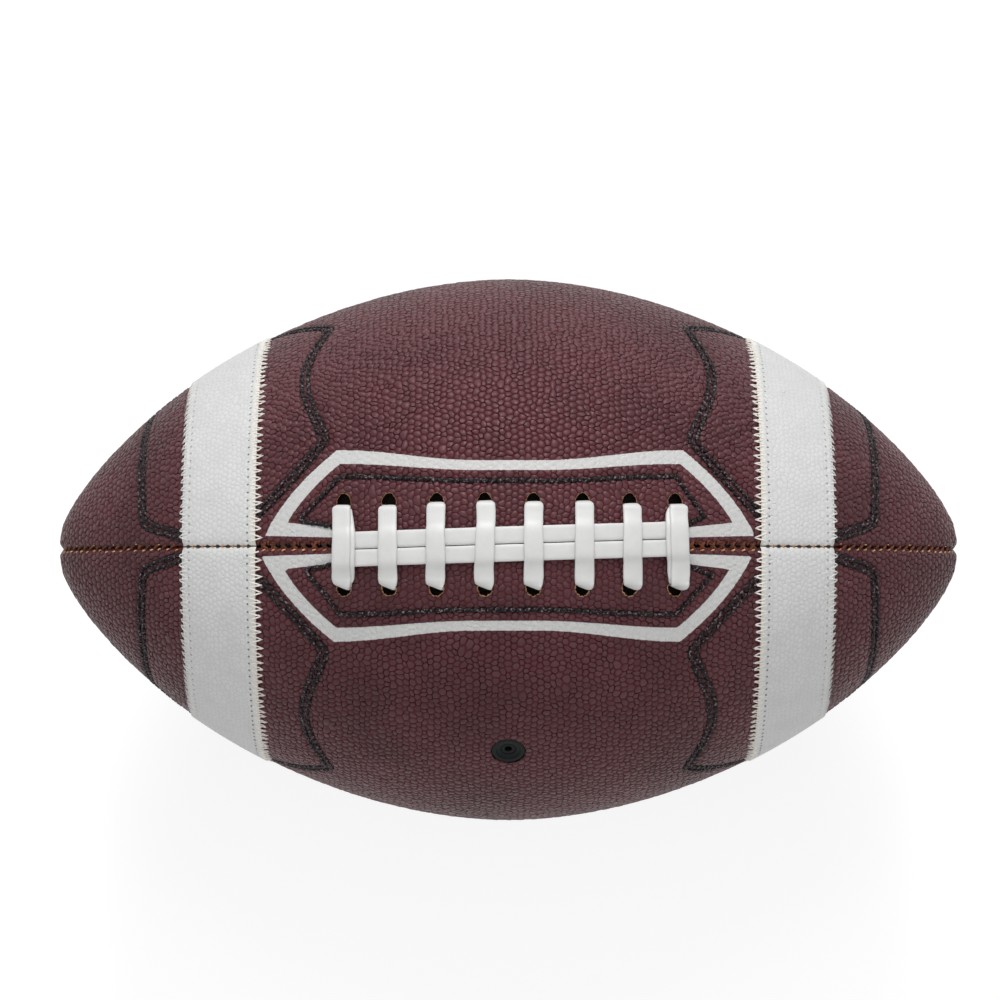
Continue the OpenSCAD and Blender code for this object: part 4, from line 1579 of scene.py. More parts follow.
@dataclass(frozen=True)
class Stitch:
    """One visible stitch: a short length of twisted thread that dips under the surface at both ends."""

    length: float  # Length from dip to dip
    thickness: float
    rise: float = 0.25  # Height of the stitch's middle over the surface
    dip: float = 0.35  # Depth of its ends under the surface
    twist: float = 1.0  # Turns of the twist in one stitch
    lobes: float = 0.16  # How far the strands stand out, as a share of the thickness
    slant: float = 6.0  # How far each stitch turns from the line, in degrees
    loose_share: float = 0.12  # Random change of place, as a share of the thickness
    slant_spread: float = 0.6  # Random change of the slant, as a share
    arch: float = 2.4  # Power that sets how flat the stitch's arch is
    end_power: int = 6  # Power that sets how suddenly it narrows at its ends
    end_least: float = 0.05  # Least value under the root that narrows it
    rings: int = 9  # Sections along one stitch
    sides: int = 8

    def along(self, centres: Array, ahead: Array, side: Array, out: Array, random: Draws) -> MeshData:
        """Makes a stitch at each of some places.

        Args:
            centres: Places on the surface.
            ahead: Direction of the line at each place.
            side: Direction to the side at each place.
            out: Direction out of the surface at each place.
            random: Source of the small differences.

        Returns:
            All the stitches in one mesh.
        """
        count, size = len(centres), self.rings * self.sides
        step = np.linspace(-1, 1, self.rings)
        turn = np.linspace(0, 2 * math.pi, self.sides, endpoint=False)
        spread = random.uniform(-self.slant_spread, self.slant_spread, count)
        slant = np.radians(self.slant * (1 + spread))[:, None]
        go = ahead * np.cos(slant) + side * np.sin(slant)
        beside = np.cross(out, go)
        loose = random.uniform(-1, 1, (3, count, 1)) * self.thickness * self.loose_share
        middle = centres + go * loose[0] + beside * loose[1]
        height = self.rise - (self.rise + self.dip) * np.abs(step) ** self.arch
        lift = height[:, None] + loose[2][:, None] / 2
        line = middle[:, None] + go[:, None] * (step * self.length / 2)[:, None] + out[:, None] * lift
        end = np.sqrt(np.clip(1 - np.abs(step) ** self.end_power, self.end_least, 1))
        swirl = turn[None, :] + (step * math.pi * self.twist)[:, None]
        reach = self.thickness / 2 * end[:, None] * (1 + self.lobes * np.cos(2 * swirl))
        sideways = beside[:, None, None] * (reach * np.cos(turn))[..., None]
        rings = line[:, :, None] + sideways + out[:, None, None] * (reach * np.sin(turn))[..., None]
        template = [(a, d, c, b) for a, b, c, d in tube_faces(self.rings, self.sides)]
        template += [face[::-1] for face in tube_ends(self.rings, self.sides)]
        faces = [tuple(p + n * size for p in face) for n in range(count) for face in template]
        return MeshData(rings.reshape(-1, 3), faces)


@dataclass(frozen=True)
class Stitching:
    """Stitches along lines on the ball."""

    stitch: Stitch
    pitch: float  # Distance from one stitch to the next
    seed: int
    height: float = -0.6  # Height of the surface under the stitches over the plain leather

    def mesh(self, ball: BallShape, routes: list[Route]) -> MeshData:
        """Makes the stitches of some lines.

        Args:
            ball: The ball.
            routes: The lines.

        Returns:
            All the stitches in one mesh.
        """
        random = np.random.default_rng(self.seed)
        parts = []
        for route in routes:
            line = route.spaced(ball, self.pitch)
            centres = ball.point(line.x, line.angle, self.height - ball.groove(line.x, line.angle))
            parts.append(self.stitch.along(centres, *line.heading(ball), random))
        return MeshData.joined(parts)


@dataclass(frozen=True)
class StripeLayout:
    """Sizes of a white stripe and of the zigzag stitches that hold its two edges."""

    near: float = 76.0  # Distance from the middle of the ball to the stripe's near edge
    width: float = 23.0
    top: float = 0.75  # Height of its face over the leather
    groove_share: float = 0.8  # How far it follows the seams' grooves
    edge_round: Spot = (0.3, 1.2)  # How far its edges round off, and over what width
    dent: Spot = (0.3, 0.35)  # Depth and width of the dent at a needle hole
    margin: float = 1.6  # Distance from a seam to its first needle hole
    back: float = 0.1  # How far its back lies over the leather's shoulders
    line_points: int = 80
    zigzag_pitch: float = 2.5  # Distance from one zigzag stitch to the next
    inside: float = 2.3  # Reach of a zigzag stitch on the stripe
    outside: float = 1.75  # Reach of a zigzag stitch on the leather
    far_share: float = 0.75  # That reach at the far edge, as a share of the one at the near edge
    reach_spread: float = 0.12  # Random change of either reach, as a share
    pitch_spread: float = 0.15  # Random change of a stitch's place, as a share of the pitch
    thread: float = 0.48  # Thickness of the zigzag thread
    thread_steps: int = 6  # Points of the thread from corner to corner
    thread_sides: int = 6
    on_stripe: float = 0.35  # How far the thread sinks into the stripe, as a share of its thickness
    on_leather: float = 0.3  # Height of its middle over the leather, as a share of its thickness
    over_edge: float = 0.35  # Distance from the edge over which it climbs on to the stripe
    climb_share: float = 0.8  # Its height there, as a share of the stripe's
    corner_dip: float = 0.45  # How deep it dips at a needle hole
    corner_share: float = 0.12  # Share of a step over which it dips


@dataclass(kw_only=True)
class Stripe(GrainedSkin):
    """One white stripe over a lace panel."""

    end: int  # 1 for the fore end and -1 for the aft end
    layout: StripeLayout
    ring_arc_points: int = 40  # Points across the back of each section
    off_face: float = -5.0  # Value of the inner faces that stands for no edge
    shoulder_points: int = 5  # Points of a section over a shoulder of the leather
    reach_of_dents: float = 1.0  # Greatest distance at which a needle's dent shows
    seed_step: int = 40  # How far the thread's random draws start from the grain's

    def __post_init__(self) -> None:
        """Starts the random draws and marks the needle holes."""
        super().__post_init__()
        self.holes = np.concatenate([self.needle_line(edge).points(self.ball) for edge in (0, 1)])

    def ends(self) -> Spot:
        """Gives the places of the two edges, from aft to fore."""
        aft, fore = sorted((self.edge_x(0), self.edge_x(1)))
        return aft, fore

    @property
    def node(self) -> str:
        """Name of the stripe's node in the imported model."""
        return f"stripe_{'left' if self.panel.side > 0 else 'right'}_{'fore' if self.end > 0 else 'aft'}"

    def edge_x(self, edge: int) -> float:
        """Gives the place of the near edge (0) or of the far edge (1) along the ball."""
        return self.end * (self.layout.near + self.layout.width * edge)

    def inward(self, edge: int) -> int:
        """Gives the direction along the ball from an edge on to the stripe."""
        return self.end * (1 if edge == 0 else -1)

    def edge_line(self, x: float) -> Route:
        """Draws the line round the panel at one place.

        Args:
            x: The place along the ball.

        Returns:
            The line, from seam to seam.
        """
        start, count = self.panel.value * QUARTER, self.layout.line_points
        margin = self.layout.margin / float(self.ball.radius(np.array(x)))
        return Route(np.full(count, x), np.linspace(start + margin, start + QUARTER - margin, count))

    def needle_line(self, edge: int) -> Route:
        """Gives the places where the needle went through the stripe along one edge."""
        x = self.edge_x(edge) + self.inward(edge) * self.layout.inside
        return self.edge_line(x).spaced(self.ball, self.layout.zigzag_pitch)

    def outer_height(self, x: Array, angle: Array) -> Array:
        """Lays the stripe over the leather and rounds its edges off.

        Args:
            x: Distances from the middle of the ball.
            angle: Angles from the lace seam.

        Returns:
            Heights over the ball's smooth surface.
        """
        layout = self.layout
        away = np.minimum(np.abs(x - self.edge_x(0)), np.abs(x - self.edge_x(1)))
        round_off = layout.edge_round[0] * (1 - smoothstep(0.0, layout.edge_round[1], away))
        gap = distance_to(self.ball.point(x, angle), self.holes, self.reach_of_dents)
        needle = layout.dent[0] * np.exp(-((gap / layout.dent[1]) ** 2))
        return layout.top - round_off - needle - layout.groove_share * self.ball.groove(x, angle)

    def marks(self, x: Array, angle: Array) -> dict[str, tuple[Array, float]]:
        """Counts the stitches along each edge, and gives the distances from both edges.

        Args:
            x: Distances from the middle of the ball.
            angle: Angles from the lace seam.

        Returns:
            Values of the outer face and of the inner faces, by name.
        """
        found = {}
        for edge, name in ((0, "near"), (1, "far")):
            line = self.edge_line(self.edge_x(edge))
            stitches = (len(line.spaced(self.ball, self.layout.zigzag_pitch / 2).x) - 1) / 2
            share = (angle - line.angle[0]) / (line.angle[-1] - line.angle[0])
            found[f"{name}_stitch"] = (share * stitches, 0.0)
            found[f"{name}_edge"] = (np.abs(x - self.edge_x(edge)), self.off_face)
        return found

    def ring(self, x: float, near: float) -> list[Spot]:
        """Draws the back of the stripe, which lies on the leather's shoulders.

        Args:
            x: Distance from the middle of the ball; not used.
            near: Distance of the edge from its seam.

        Returns:
            Half a section, from the edge inwards.
        """
        width, found = self.ball.shoulder_width, []
        for d in np.linspace(near, width, self.shoulder_points).tolist():
            bend = 1 - math.sqrt(1 - ((width - d) / width) ** 2)
            found.append((d, self.ball.groove_depth * bend - self.layout.back))
        return found

    def zigzag(self, edge: int, random: Draws) -> MeshData:
        """Makes the zigzag thread along one edge.

        Args:
            edge: 0 for the near edge and 1 for the far one.
            random: Source of the small differences.

        Returns:
            The thread.
        """
        layout, inward, x = self.layout, self.inward(edge), self.edge_x(edge)
        line = self.edge_line(x).spaced(self.ball, layout.zigzag_pitch / 2)
        count, steps = len(line.x), layout.thread_steps
        outside = layout.outside * (1 if edge == 0 else layout.far_share)
        reach = np.where(np.arange(count) % 2 == 0, layout.inside, -outside)
        reach = reach * (1 + random.uniform(-layout.reach_spread, layout.reach_spread, count))
        strays = random.uniform(-layout.pitch_spread, layout.pitch_spread, count)
        turned = line.angle + strays * layout.zigzag_pitch / self.ball.radius(line.x)
        corners = np.stack([x + inward * reach, turned])
        share = np.linspace(0, 1, steps, endpoint=False)
        path_x, path_angle = (corners[:, :-1, None] * (1 - share) + corners[:, 1:, None] * share).reshape(2, -1)
        depth_in = inward * (path_x - x)
        on_stripe, on_leather = layout.top - layout.thread * layout.on_stripe, layout.thread * layout.on_leather
        lift = np.where(depth_in > 0, on_stripe, on_leather)
        lift = np.where(np.abs(depth_in) < layout.over_edge, layout.top * layout.climb_share, lift)
        swing = (np.arange(len(path_x)) % steps) / steps
        lift = lift - layout.corner_dip * (1 - smoothstep(0.0, layout.corner_share, np.minimum(swing, 1 - swing)))
        centres = self.ball.point(path_x, path_angle, lift - self.ball.groove(path_x, path_angle))
        ahead = unit(np.gradient(centres, axis=0))
        side = unit(np.cross(self.ball.frame_at(path_x, path_angle)[2], ahead))
        return swept(centres, side, np.cross(ahead, side), layout.thread / 2 * circle(layout.thread_sides))

    def build(self, finishes: Finishes) -> list[Piece]:
        """Builds the stripe and its zigzag threads.

        Args:
            finishes: The materials.

        Returns:
            The pieces.
        """
        piece = self.mesh().build(f"coat_{self.node}", [finishes.stripe, finishes.suede])
        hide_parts(self.node)
        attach(piece, "root")
        random = np.random.default_rng(self.grain.seed + self.seed_step + self.panel.value)
        pieces = [piece]
        for edge, name, finish in ((0, "near", finishes.cream_thread), (1, "far", finishes.white_thread)):
            thread = self.zigzag(edge, random).build(f"zigzag_{self.node}_{name}", [finish])
            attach(thread, "root")
            pieces.append(thread)
        return pieces


@dataclass(frozen=True)
class LacePoint:
    """One point of the lace's route."""

    x: float
    y: float  # Distance from the lace seam
    height: float  # Height of the lace's middle over the leather
    across: Spot  # Direction of the lace's width, along and across the seam
    width_share: float  # Width, as a share of the lace's full width


@dataclass(frozen=True)
class Lace:
    """The lace: one flat band that makes two rails, eight crossings and the runs under the leather."""

    layout: LaceLayout  # Where the holes lie
    width: float = 5.8
    thickness: float = 1.5
    rail_share: float = 0.88  # Width of a rail, as a share of the width
    rail_gap: float = 0.2
    rail_tilt: float = 0.032  # Slope of the rails against the seam
    rail_offset: float = 0.35  # Distance of the rails' middle line from the seam, halfway along the ball
    rail_end: float = 0.55  # How far short of the slit a rail's straight part stops, as a share of the width
    # Distance from the seam to where each crossing dives into its left hole
    top_ys: tuple[float, ...] = (11.4, 11.3, 12.1, 12.5, 12.3, 12.5, 11.8, 11.7)
    bottom_y: float = 11.9  # Distance from the seam to where the crossings dive into their right holes
    # How far each crossing lies beside its left hole's middle
    top_shifts: tuple[float, ...] = (-0.7, -0.4, -0.1, 0.3, 0.15, 0.6, 0.75, 1.1)
    # How far each crossing lies beside its right hole's middle
    bottom_shifts: tuple[float, ...] = (-0.6, -0.3, -0.4, -0.1, -0.05, 0.6, 1.0, 1.4)
    under: float = -4.6  # Depth of the runs under the leather
    under_share: float = 0.9  # Their width, as a share of the width
    under_points: int = 5  # Points of each such run
    bend: float = 1.3
    slit_x: float = 51.0  # Place of the ends of the slit, where the rails dive
    # How far the lower layer of the first and of the last crossing lies along the ball
    wrap_shifts: Spot = (1.3, -1.3)
    wrap_within: float = 0.9  # How far inside the upper layer's bends the lower layer bends
    wrap_lift_share: float = 0.75  # How far the upper layer is lifted, as a share of the thickness
    smooth_steps: int = 4  # Steps between two points of the route
    least_step: float = 0.05  # Distance under which two points of the route are one
    sides: int = 28
    flatness: Spot = (0.5, 0.7)  # Powers that set how square its section is, in width and in thickness
    along_seam: Spot = (-1.0, 0.0)  # Direction of the width in a crossing
    along_cross: Spot = (0.0, 1.0)  # Direction of the width in a rail

    def rail_y(self, x: float, side: int) -> float:
        """Gives the distance of a rail's middle from the seam."""
        return self.rail_offset + self.rail_tilt * x + side * (self.width * self.rail_share + self.rail_gap) / 2

    def rail(self, end: int, side: int) -> list[LacePoint]:
        """Lays one rail.

        Args:
            end: End of the ball where the rail dives: 1 for the fore end and -1 for the aft end.
            side: 1 for the rail on the left and -1 for the one on the right.

        Returns:
            The points, from the rail's free end to the slit.
        """
        flat, bend, across = self.thickness / 2 + 0.15, self.bend, self.along_cross
        reach = self.slit_x - self.width * self.rail_end
        y = self.rail_y(end * self.slit_x, side)
        points = [
            LacePoint(end * x, self.rail_y(end * x, side), flat, across, self.rail_share)
            for x in np.linspace(-reach, reach, 4 * self.layout.hole_count)
        ]
        dive = (
            (1.6, y * 0.8, flat, 0.72),
            (0.9, y * 0.4, flat * 0.9, 0.64),
            (0.3, 0.0, flat - 0.4 * bend, 0.6),
            (0.0, 0.0, flat - bend, 0.6),
        )
        return points + [
            LacePoint(end * (self.slit_x - back * bend), beside, height, across, share)
            for back, beside, height, share in dive
        ]

    def crossing(self, i: int, shift: float, lift: float) -> list[LacePoint]:
        """Lays one crossing.

        Args:
            i: Number of the crossing.
            shift: How far its middle is moved along the ball.
            lift: Height over its plain place, where it lies on another layer.

        Returns:
            The points, from the left hole to the right one.
        """
        hole, bend = self.layout.hole_x(i), self.bend
        top, bottom = hole + self.top_shifts[i], hole + self.bottom_shifts[i]
        middle = (top + bottom) / 2 + shift
        within = self.wrap_within * (shift != 0.0)
        top_y, bottom_y = self.top_ys[i] - within, within - self.bottom_y
        flat, over = self.thickness / 2 + 0.1 + lift, self.thickness * 1.5 + 0.25 + lift
        rail_edge = self.width * self.rail_share + self.rail_gap / 2
        left, right = self.rail_y(middle, 1) + rail_edge / 2, self.rail_y(middle, -1) - rail_edge / 2
        wobble = math.sin(2.4 * i + 0.7) * 0.12
        cross, lean = self.along_seam, (-1.0, 0.4)
        start = hole + shift * 0.3
        return [
            LacePoint(start + 0.55 * self.top_shifts[i], top_y, -bend, cross, 0.78),
            LacePoint(start + 0.8 * self.top_shifts[i], top_y - 0.15 * bend, flat - 0.45 * bend, cross, 0.92),
            LacePoint(top + shift * 0.4, top_y - 0.6 * bend, flat - 0.05 * bend, cross, 0.98),
            LacePoint(top + shift * 0.6 + wobble, (top_y + left) / 2 + 0.6, flat + 0.1, cross, 0.98),
            LacePoint(top + shift * 0.9 + wobble, left + 1.3, flat + 0.6, cross, 0.97),
            LacePoint(middle + wobble, left - 1.1, over - 0.05, cross, 0.98),
            LacePoint(middle, (left + right) / 2, over + 0.1, cross, 1.0),
            LacePoint(middle - wobble, right + 1.1, over - 0.05, cross, 0.99),
            LacePoint(bottom + shift * 0.9 - wobble, right - 1.3, flat + 0.6, cross, 1.0),
            LacePoint(bottom + shift * 0.8 - wobble, (bottom_y + right) / 2 - 0.4, flat + 0.1, cross, 1.03),
            LacePoint(bottom + shift * 0.5, bottom_y + 0.9 * bend, flat, (-1.0, 0.16), 1.0),
            LacePoint(bottom + shift * 0.4, bottom_y + 0.1 * bend, flat - 0.4 * bend, lean, 0.92),
            LacePoint(hole + shift * 0.4 + 0.3, bottom_y - 0.1, -bend, lean, 0.74),
        ]

    def under_run(self, start: Spot, end: Spot) -> list[LacePoint]:
        """Lays a run under the leather.

        Args:
            start: Its start, along and across the seam.
            end: Its end.

        Returns:
            The points.
        """
        a, b = np.array(start), np.array(end)
        way = unit(b - a)
        side = (-float(way[1]), float(way[0]))
        steps = np.linspace(self.bend, float(np.linalg.norm(b - a)) - self.bend, self.under_points)
        return [LacePoint(*(a + way * step).tolist(), self.under, side, self.under_share) for step in steps]

    def route(self) -> list[LacePoint]:
        """Lays the whole lace.

        Returns:
            The points, from the free end of one rail to the free end of the other.
        """
        last = self.layout.hole_count - 1
        hole = [(self.layout.hole_x(i), self.top_ys[i]) for i in range(last + 1)]
        low = [(x, -self.bottom_y) for x, _ in hole]
        points = self.rail(-1, -1) + self.under_run((-self.slit_x, 0.0), hole[0])
        points += self.crossing(0, self.wrap_shifts[0], 0.0) + self.under_run(low[0], hole[0])
        for i in range(last + 1):
            points += self.crossing(i, 0.0, self.thickness * self.wrap_lift_share * (i in (0, last)))
            if i < last:
                points += self.under_run(low[i], hole[i + 1])
        points += self.under_run(low[last], hole[last]) + self.crossing(last, self.wrap_shifts[1], 0.0)
        return points + self.under_run(low[last], (self.slit_x, 0.0)) + self.rail(1, 1)[::-1]

    def table(self) -> Array:
        """Smooths the route.

        Returns:
            One row for each point: place, height, direction of the width and share of the width.
        """
        rows = np.array([(p.x, p.y, p.height, *p.across, p.width_share) for p in self.route()])
        padded = np.concatenate([rows[:1], rows, rows[-1:]])
        share = np.linspace(0, 1, self.smooth_steps, endpoint=False)[None, :, None]
        before, start, end, after = (padded[k : len(padded) - 3 + k, None] for k in range(4))
        curve = 0.5 * (
            2 * start
            + (end - before) * share
            + (2 * before - 5 * start + 4 * end - after) * share**2
            + (3 * start - before - 3 * end + after) * share**3
        )
        return np.concatenate([curve.reshape(-1, rows.shape[1]), rows[-1:]])

    def mesh(self, ball: BallShape) -> MeshData:
        """Builds the lace's mesh.

        Args:
            ball: The ball.

        Returns:
            The mesh.
        """
        rows = self.table()
        x, y, height = rows.T[:3]
        centres = np.stack([x, y, ball.axis_height + np.sqrt((ball.radius(x) + height) ** 2 - y**2)], -1)
        steps = np.linalg.norm(np.diff(centres, axis=0), axis=1)
        far_enough = np.concatenate([[True], steps > self.least_step])
        rows, centres = rows[far_enough], centres[far_enough]
        x, y, _, across_x, across_y, width_share = rows.T
        ahead = unit(np.gradient(centres, axis=0))
        climb = across_x * ball.slope(x) + across_y * (-y / np.sqrt(ball.radius(x) ** 2 - y**2))
        across = np.stack([across_x, across_y, climb], -1)
        across = unit(across - ahead * np.sum(across * ahead, -1, keepdims=True))
        for i in range(1, len(across)):
            if np.dot(across[i], across[i - 1]) < 0:
                across[i] *= -1
        section = circle(self.sides)
        section = np.sign(section) * np.abs(section) ** np.array(self.flatness)
        reaches = np.stack([width_share * self.width / 2, np.full(len(rows), self.thickness / 2)], -1)
        return swept(centres, across, np.cross(ahead, across), reaches[:, None] * section)

    def build(self, ball: BallShape, finishes: Finishes) -> Piece:
        """Builds the lace as a piece.

        Args:
            ball: The ball.
            finishes: The materials.

        Returns:
            The piece.
        """
        piece = self.mesh(ball).build("lace_band", [finishes.lace])
        turn_outwards(piece)
        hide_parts("lace")
        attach(piece, "root")
        return piece


@dataclass(frozen=True)
class SeamRow:
    """A row of stitches beside or across a seam."""

    stitch: Stitch
    offset: float  # Distance of the row from the seam
    height: float  # Height over the ball's smooth surface
    cross: float  # Angle between the stitches and the seam, in degrees
    slot: int = 0  # Material slot: 0 for the brown thread and 1 for the tan one
    at_holes: bool = False  # Whether the stitches lie at the needle holes, or else between them
    every: int = 1  # 1 for a stitch at every place, 3 for one at every third


class SeamKind(Enum):
    """How the thread of a seam shows: the distance between its holes, and its rows of stitches."""

    TIGHT = (
        3.4,
        SeamRow(Stitch(2.7, 0.78, 0.3, 0.3), 0.0, -0.75, 30),
        SeamRow(Stitch(1.15, 0.46, 0.14, 0.2, loose_share=0.7), -1.0, -0.3, 20, 1, True),
        SeamRow(Stitch(0.7, 0.32, 0.1, 0.2, loose_share=0.7), 0.8, -0.35, 10, 1, True, 3),
    )
    OPEN = (
        3.4,
        SeamRow(Stitch(3.6, 0.95, 0.3, 0.3), 0.15, -0.75, 50),
        SeamRow(Stitch(3.2, 0.75, 0.3, 0.3), -0.1, -0.6, -42),
        SeamRow(Stitch(2.0, 0.6, 0.25, 0.3), 1.1, -0.35, 72, 0, True),
        SeamRow(Stitch(1.5, 0.5, 0.15, 0.2), -1.25, -0.2, 15, 1),
    )
    STRIPED = (
        3.7,
        SeamRow(Stitch(1.2, 0.4, 0.1, 0.2), 0.25, 0.1, 40, 1),
        SeamRow(Stitch(1.2, 0.4, 0.1, 0.2), -0.25, 0.1, -40, 1),
    )


@dataclass(frozen=True)
class SeamThread:
    """The thread of one seam: short stitches down in the groove, with pale flecks where the thread has frayed."""

    name: str
    node: str  # Node that it replaces
    turn: float  # Angle of the seam from the lace seam
    stretches: tuple[tuple[float, float, SeamKind], ...]  # Stretches of the seam, as start, end and kind
    seed: int

    def stitches(self, ball: BallShape, x: Array, row: SeamRow, random: Draws) -> MeshData:
        """Makes a row of stitches.

        Args:
            ball: The ball.
            x: Places along the seam.
            row: The row.
            random: Source of the small differences.

        Returns:
            The stitches.
        """
        scale = ball.seam_scale(x)
        angle = self.turn + row.offset * scale / np.maximum(ball.radius(x), 1)
        along, round_it, out = ball.frame_at(x, angle)
        centres = ball.drawn_in(ball.point(x, angle, row.height * scale))
        go = along * math.cos(math.radians(row.cross)) + round_it * math.sin(math.radians(row.cross))
        mesh = row.stitch.along(centres, go, np.cross(out, go), out, random)
        mesh.slots = [row.slot] * len(mesh.faces)
        return mesh

    def build(self, ball: BallShape, finishes: Finishes) -> Piece:
        """Builds the thread.

        Args:
            ball: The ball.
            finishes: The materials.

        Returns:
            The piece.
        """
        random = np.random.default_rng(self.seed)
        places, runs = ball.run_table()
        parts = []
        for start, end, kind in self.stretches:
            pitch, *rows = kind.value
            low, high = ball.run_at(np.array([start, end]))
            numbers = np.arange(math.ceil(low / pitch), math.floor(high / pitch) + 1)
            for row in rows:
                counts = numbers if row.at_holes else numbers[:-1] + 0.5
                x = np.interp(counts * pitch, runs - runs[-1] / 2, places)[:: row.every]
                parts.append(self.stitches(ball, x, row, random))
        piece = MeshData.joined(parts).build(self.name, [finishes.brown_thread, finishes.tan_thread])
        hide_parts(self.node)
        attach(piece, "root")
        return piece


@dataclass
class Valve:
    """The rubber valve: a housing with a rim and a dished face, and the plug that holds the needle bore."""

    ball: BallShape
    turn: float = math.radians(46.5)  # Angle from the lace seam, towards the right side
    hole_radius: float = 5.25
    rim_radius: float = 5.2
    rim_depth: float = 0.3  # Depth of the rim's top under the ball's smooth surface
    rim_round: float = 0.45  # Radius of the rim's outer edge
    lip_round: float = 0.3  # Radius of its inner edge
    dish_radius: float = 3.7
    flange_radius: float = 11.0  # Radius of the flange inside the bladder
    # Depths of the flange: its slope, its edge, its underside and its end
    flange_depths: tuple[float, ...] = (4.6, 5.6, 6.0, 6.8)
    barrel_radius: float = 4.0
    barrel_end: float = 11.8  # Depth of the barrel's end
    plug_gap: float = 0.08
    plug_depth: float = 1.1  # Depth of the plug's face
    plug_radius: float = 2.3
    plug_edge: float = 0.15  # Width of the plug's slanted edge
    plug_length: float = 12.0
    foot_radius: float = 2.9  # Radius of the plug's foot
    foot_height: float = 1.2
    foot_edge: float = 0.5  # Height of the foot's slanted edge
    bore_radius: float = 1.05  # Radius of the needle bore
    bore_round: float = 0.35  # Radius of the bore's mouth
    sides: int = 72
    sharp_degrees: float = 60  # Angle between faces over which their edge stays sharp

    def turned(self, profile: list[Spot]) -> MeshData:
        """Turns a closed profile about the valve's axis.

        Args:
            profile: Radius and depth of each point.

        Returns:
            The mesh.
        """
        axis, wheel = spokes(-self.turn, self.sides)
        middle = np.array([0, 0, self.ball.axis_height])
        rings = [wheel * radius + axis * (self.ball.belly_radius - depth) + middle for radius, depth in profile]
        points, count = np.concatenate(rings), len(profile) * self.sides
        faces = [tuple(p % count for p in face) for face in tube_faces(len(profile) + 1, self.sides)]
        return MeshData(points, faces)

    def housing(self) -> list[Spot]:
        """Draws the housing's section.

        Returns:
            Radius and depth of each point.
        """
        inner, dish = self.plug_radius + self.plug_gap, self.dish_radius
        rim, top = self.rim_radius, self.rim_depth
        outer, lip = self.rim_round, self.lip_round
        turns = np.linspace(0, QUARTER, 7)
        slope, edge, underside, end = self.flange_depths
        return [
            (inner, self.barrel_end),
            *(
                (inner + (dish - inner) * s, self.plug_depth - (self.plug_depth - top - lip) * s**2)
                for s in np.linspace(0, 1, 9)[:-1]
            ),
            *((dish + lip - lip * math.sin(a), top + lip * (1 - math.cos(a))) for a in reversed(turns)),
            *((rim - outer + outer * math.sin(a), top + outer * (1 - math.cos(a))) for a in turns),
            (rim, slope), (self.flange_radius, edge), (self.flange_radius, underside), (rim, end),
            (self.barrel_radius, end), (self.barrel_radius, self.barrel_end),
        ]

    def plug(self) -> list[Spot]:
        """Draws the plug's section.

        Returns:
            Radius and depth of each point.
        """
        radius, top, bore = self.plug_radius, self.plug_depth, self.bore_round
        end = top + self.plug_length
        mouth = [
            (self.bore_radius + bore * (1 - math.cos(a)), top + bore * (1 - math.sin(a)))
            for a in np.linspace(0, QUARTER, 7)
        ]
        edge = [(radius - self.plug_edge, top), (radius, top + self.plug_edge), (radius, end - self.foot_height)]
        foot = [(self.foot_radius, end - height) for height in (self.foot_height, self.foot_edge)]
        return [(self.bore_radius, end), *mouth, *edge, *foot, (radius, end)]

    def build(self, finishes: Finishes) -> list[Piece]:
        """Builds the housing and the plug.

        Args:
            finishes: The materials.

        Returns:
            The pieces.
        """
        pieces = []
        parts = (("valve_boss", "valve_housing", self.housing()), ("valve_stopper", "valve_plug", self.plug()))
        for name, node, profile in parts:
            piece = self.turned(profile).build(name, [finishes.rubber], self.sharp_degrees)
            turn_outwards(piece)
            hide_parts(node)
            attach(piece, "root")
            pieces.append(piece)
        return pieces


class InnerLayers:
    """The linings, facings, tongue and bladder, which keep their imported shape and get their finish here."""

    def dress(self, nodes: dict[str, Piece], finishes: Finishes) -> int:
        """Gives each inner piece its material.

        Args:
            nodes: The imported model's nodes.
            finishes: The materials.

        Returns:
            How many pieces were dressed.
        """
        dressed = 0
        for name, node in nodes.items():
            for word in ("lining", "facing", "tongue", "bladder"):
                if word in name:
                    node.data.materials.clear()
                    node.data.materials.append(getattr(finishes, word))
                    dressed += 1
        return dressed


@dataclass(frozen=True)
class Softbox:
    """One soft light."""

    name: str
    place: tuple[float, float, float]  # Where it hangs, in metres
    size: float  # Width and height, in metres
    watts: float


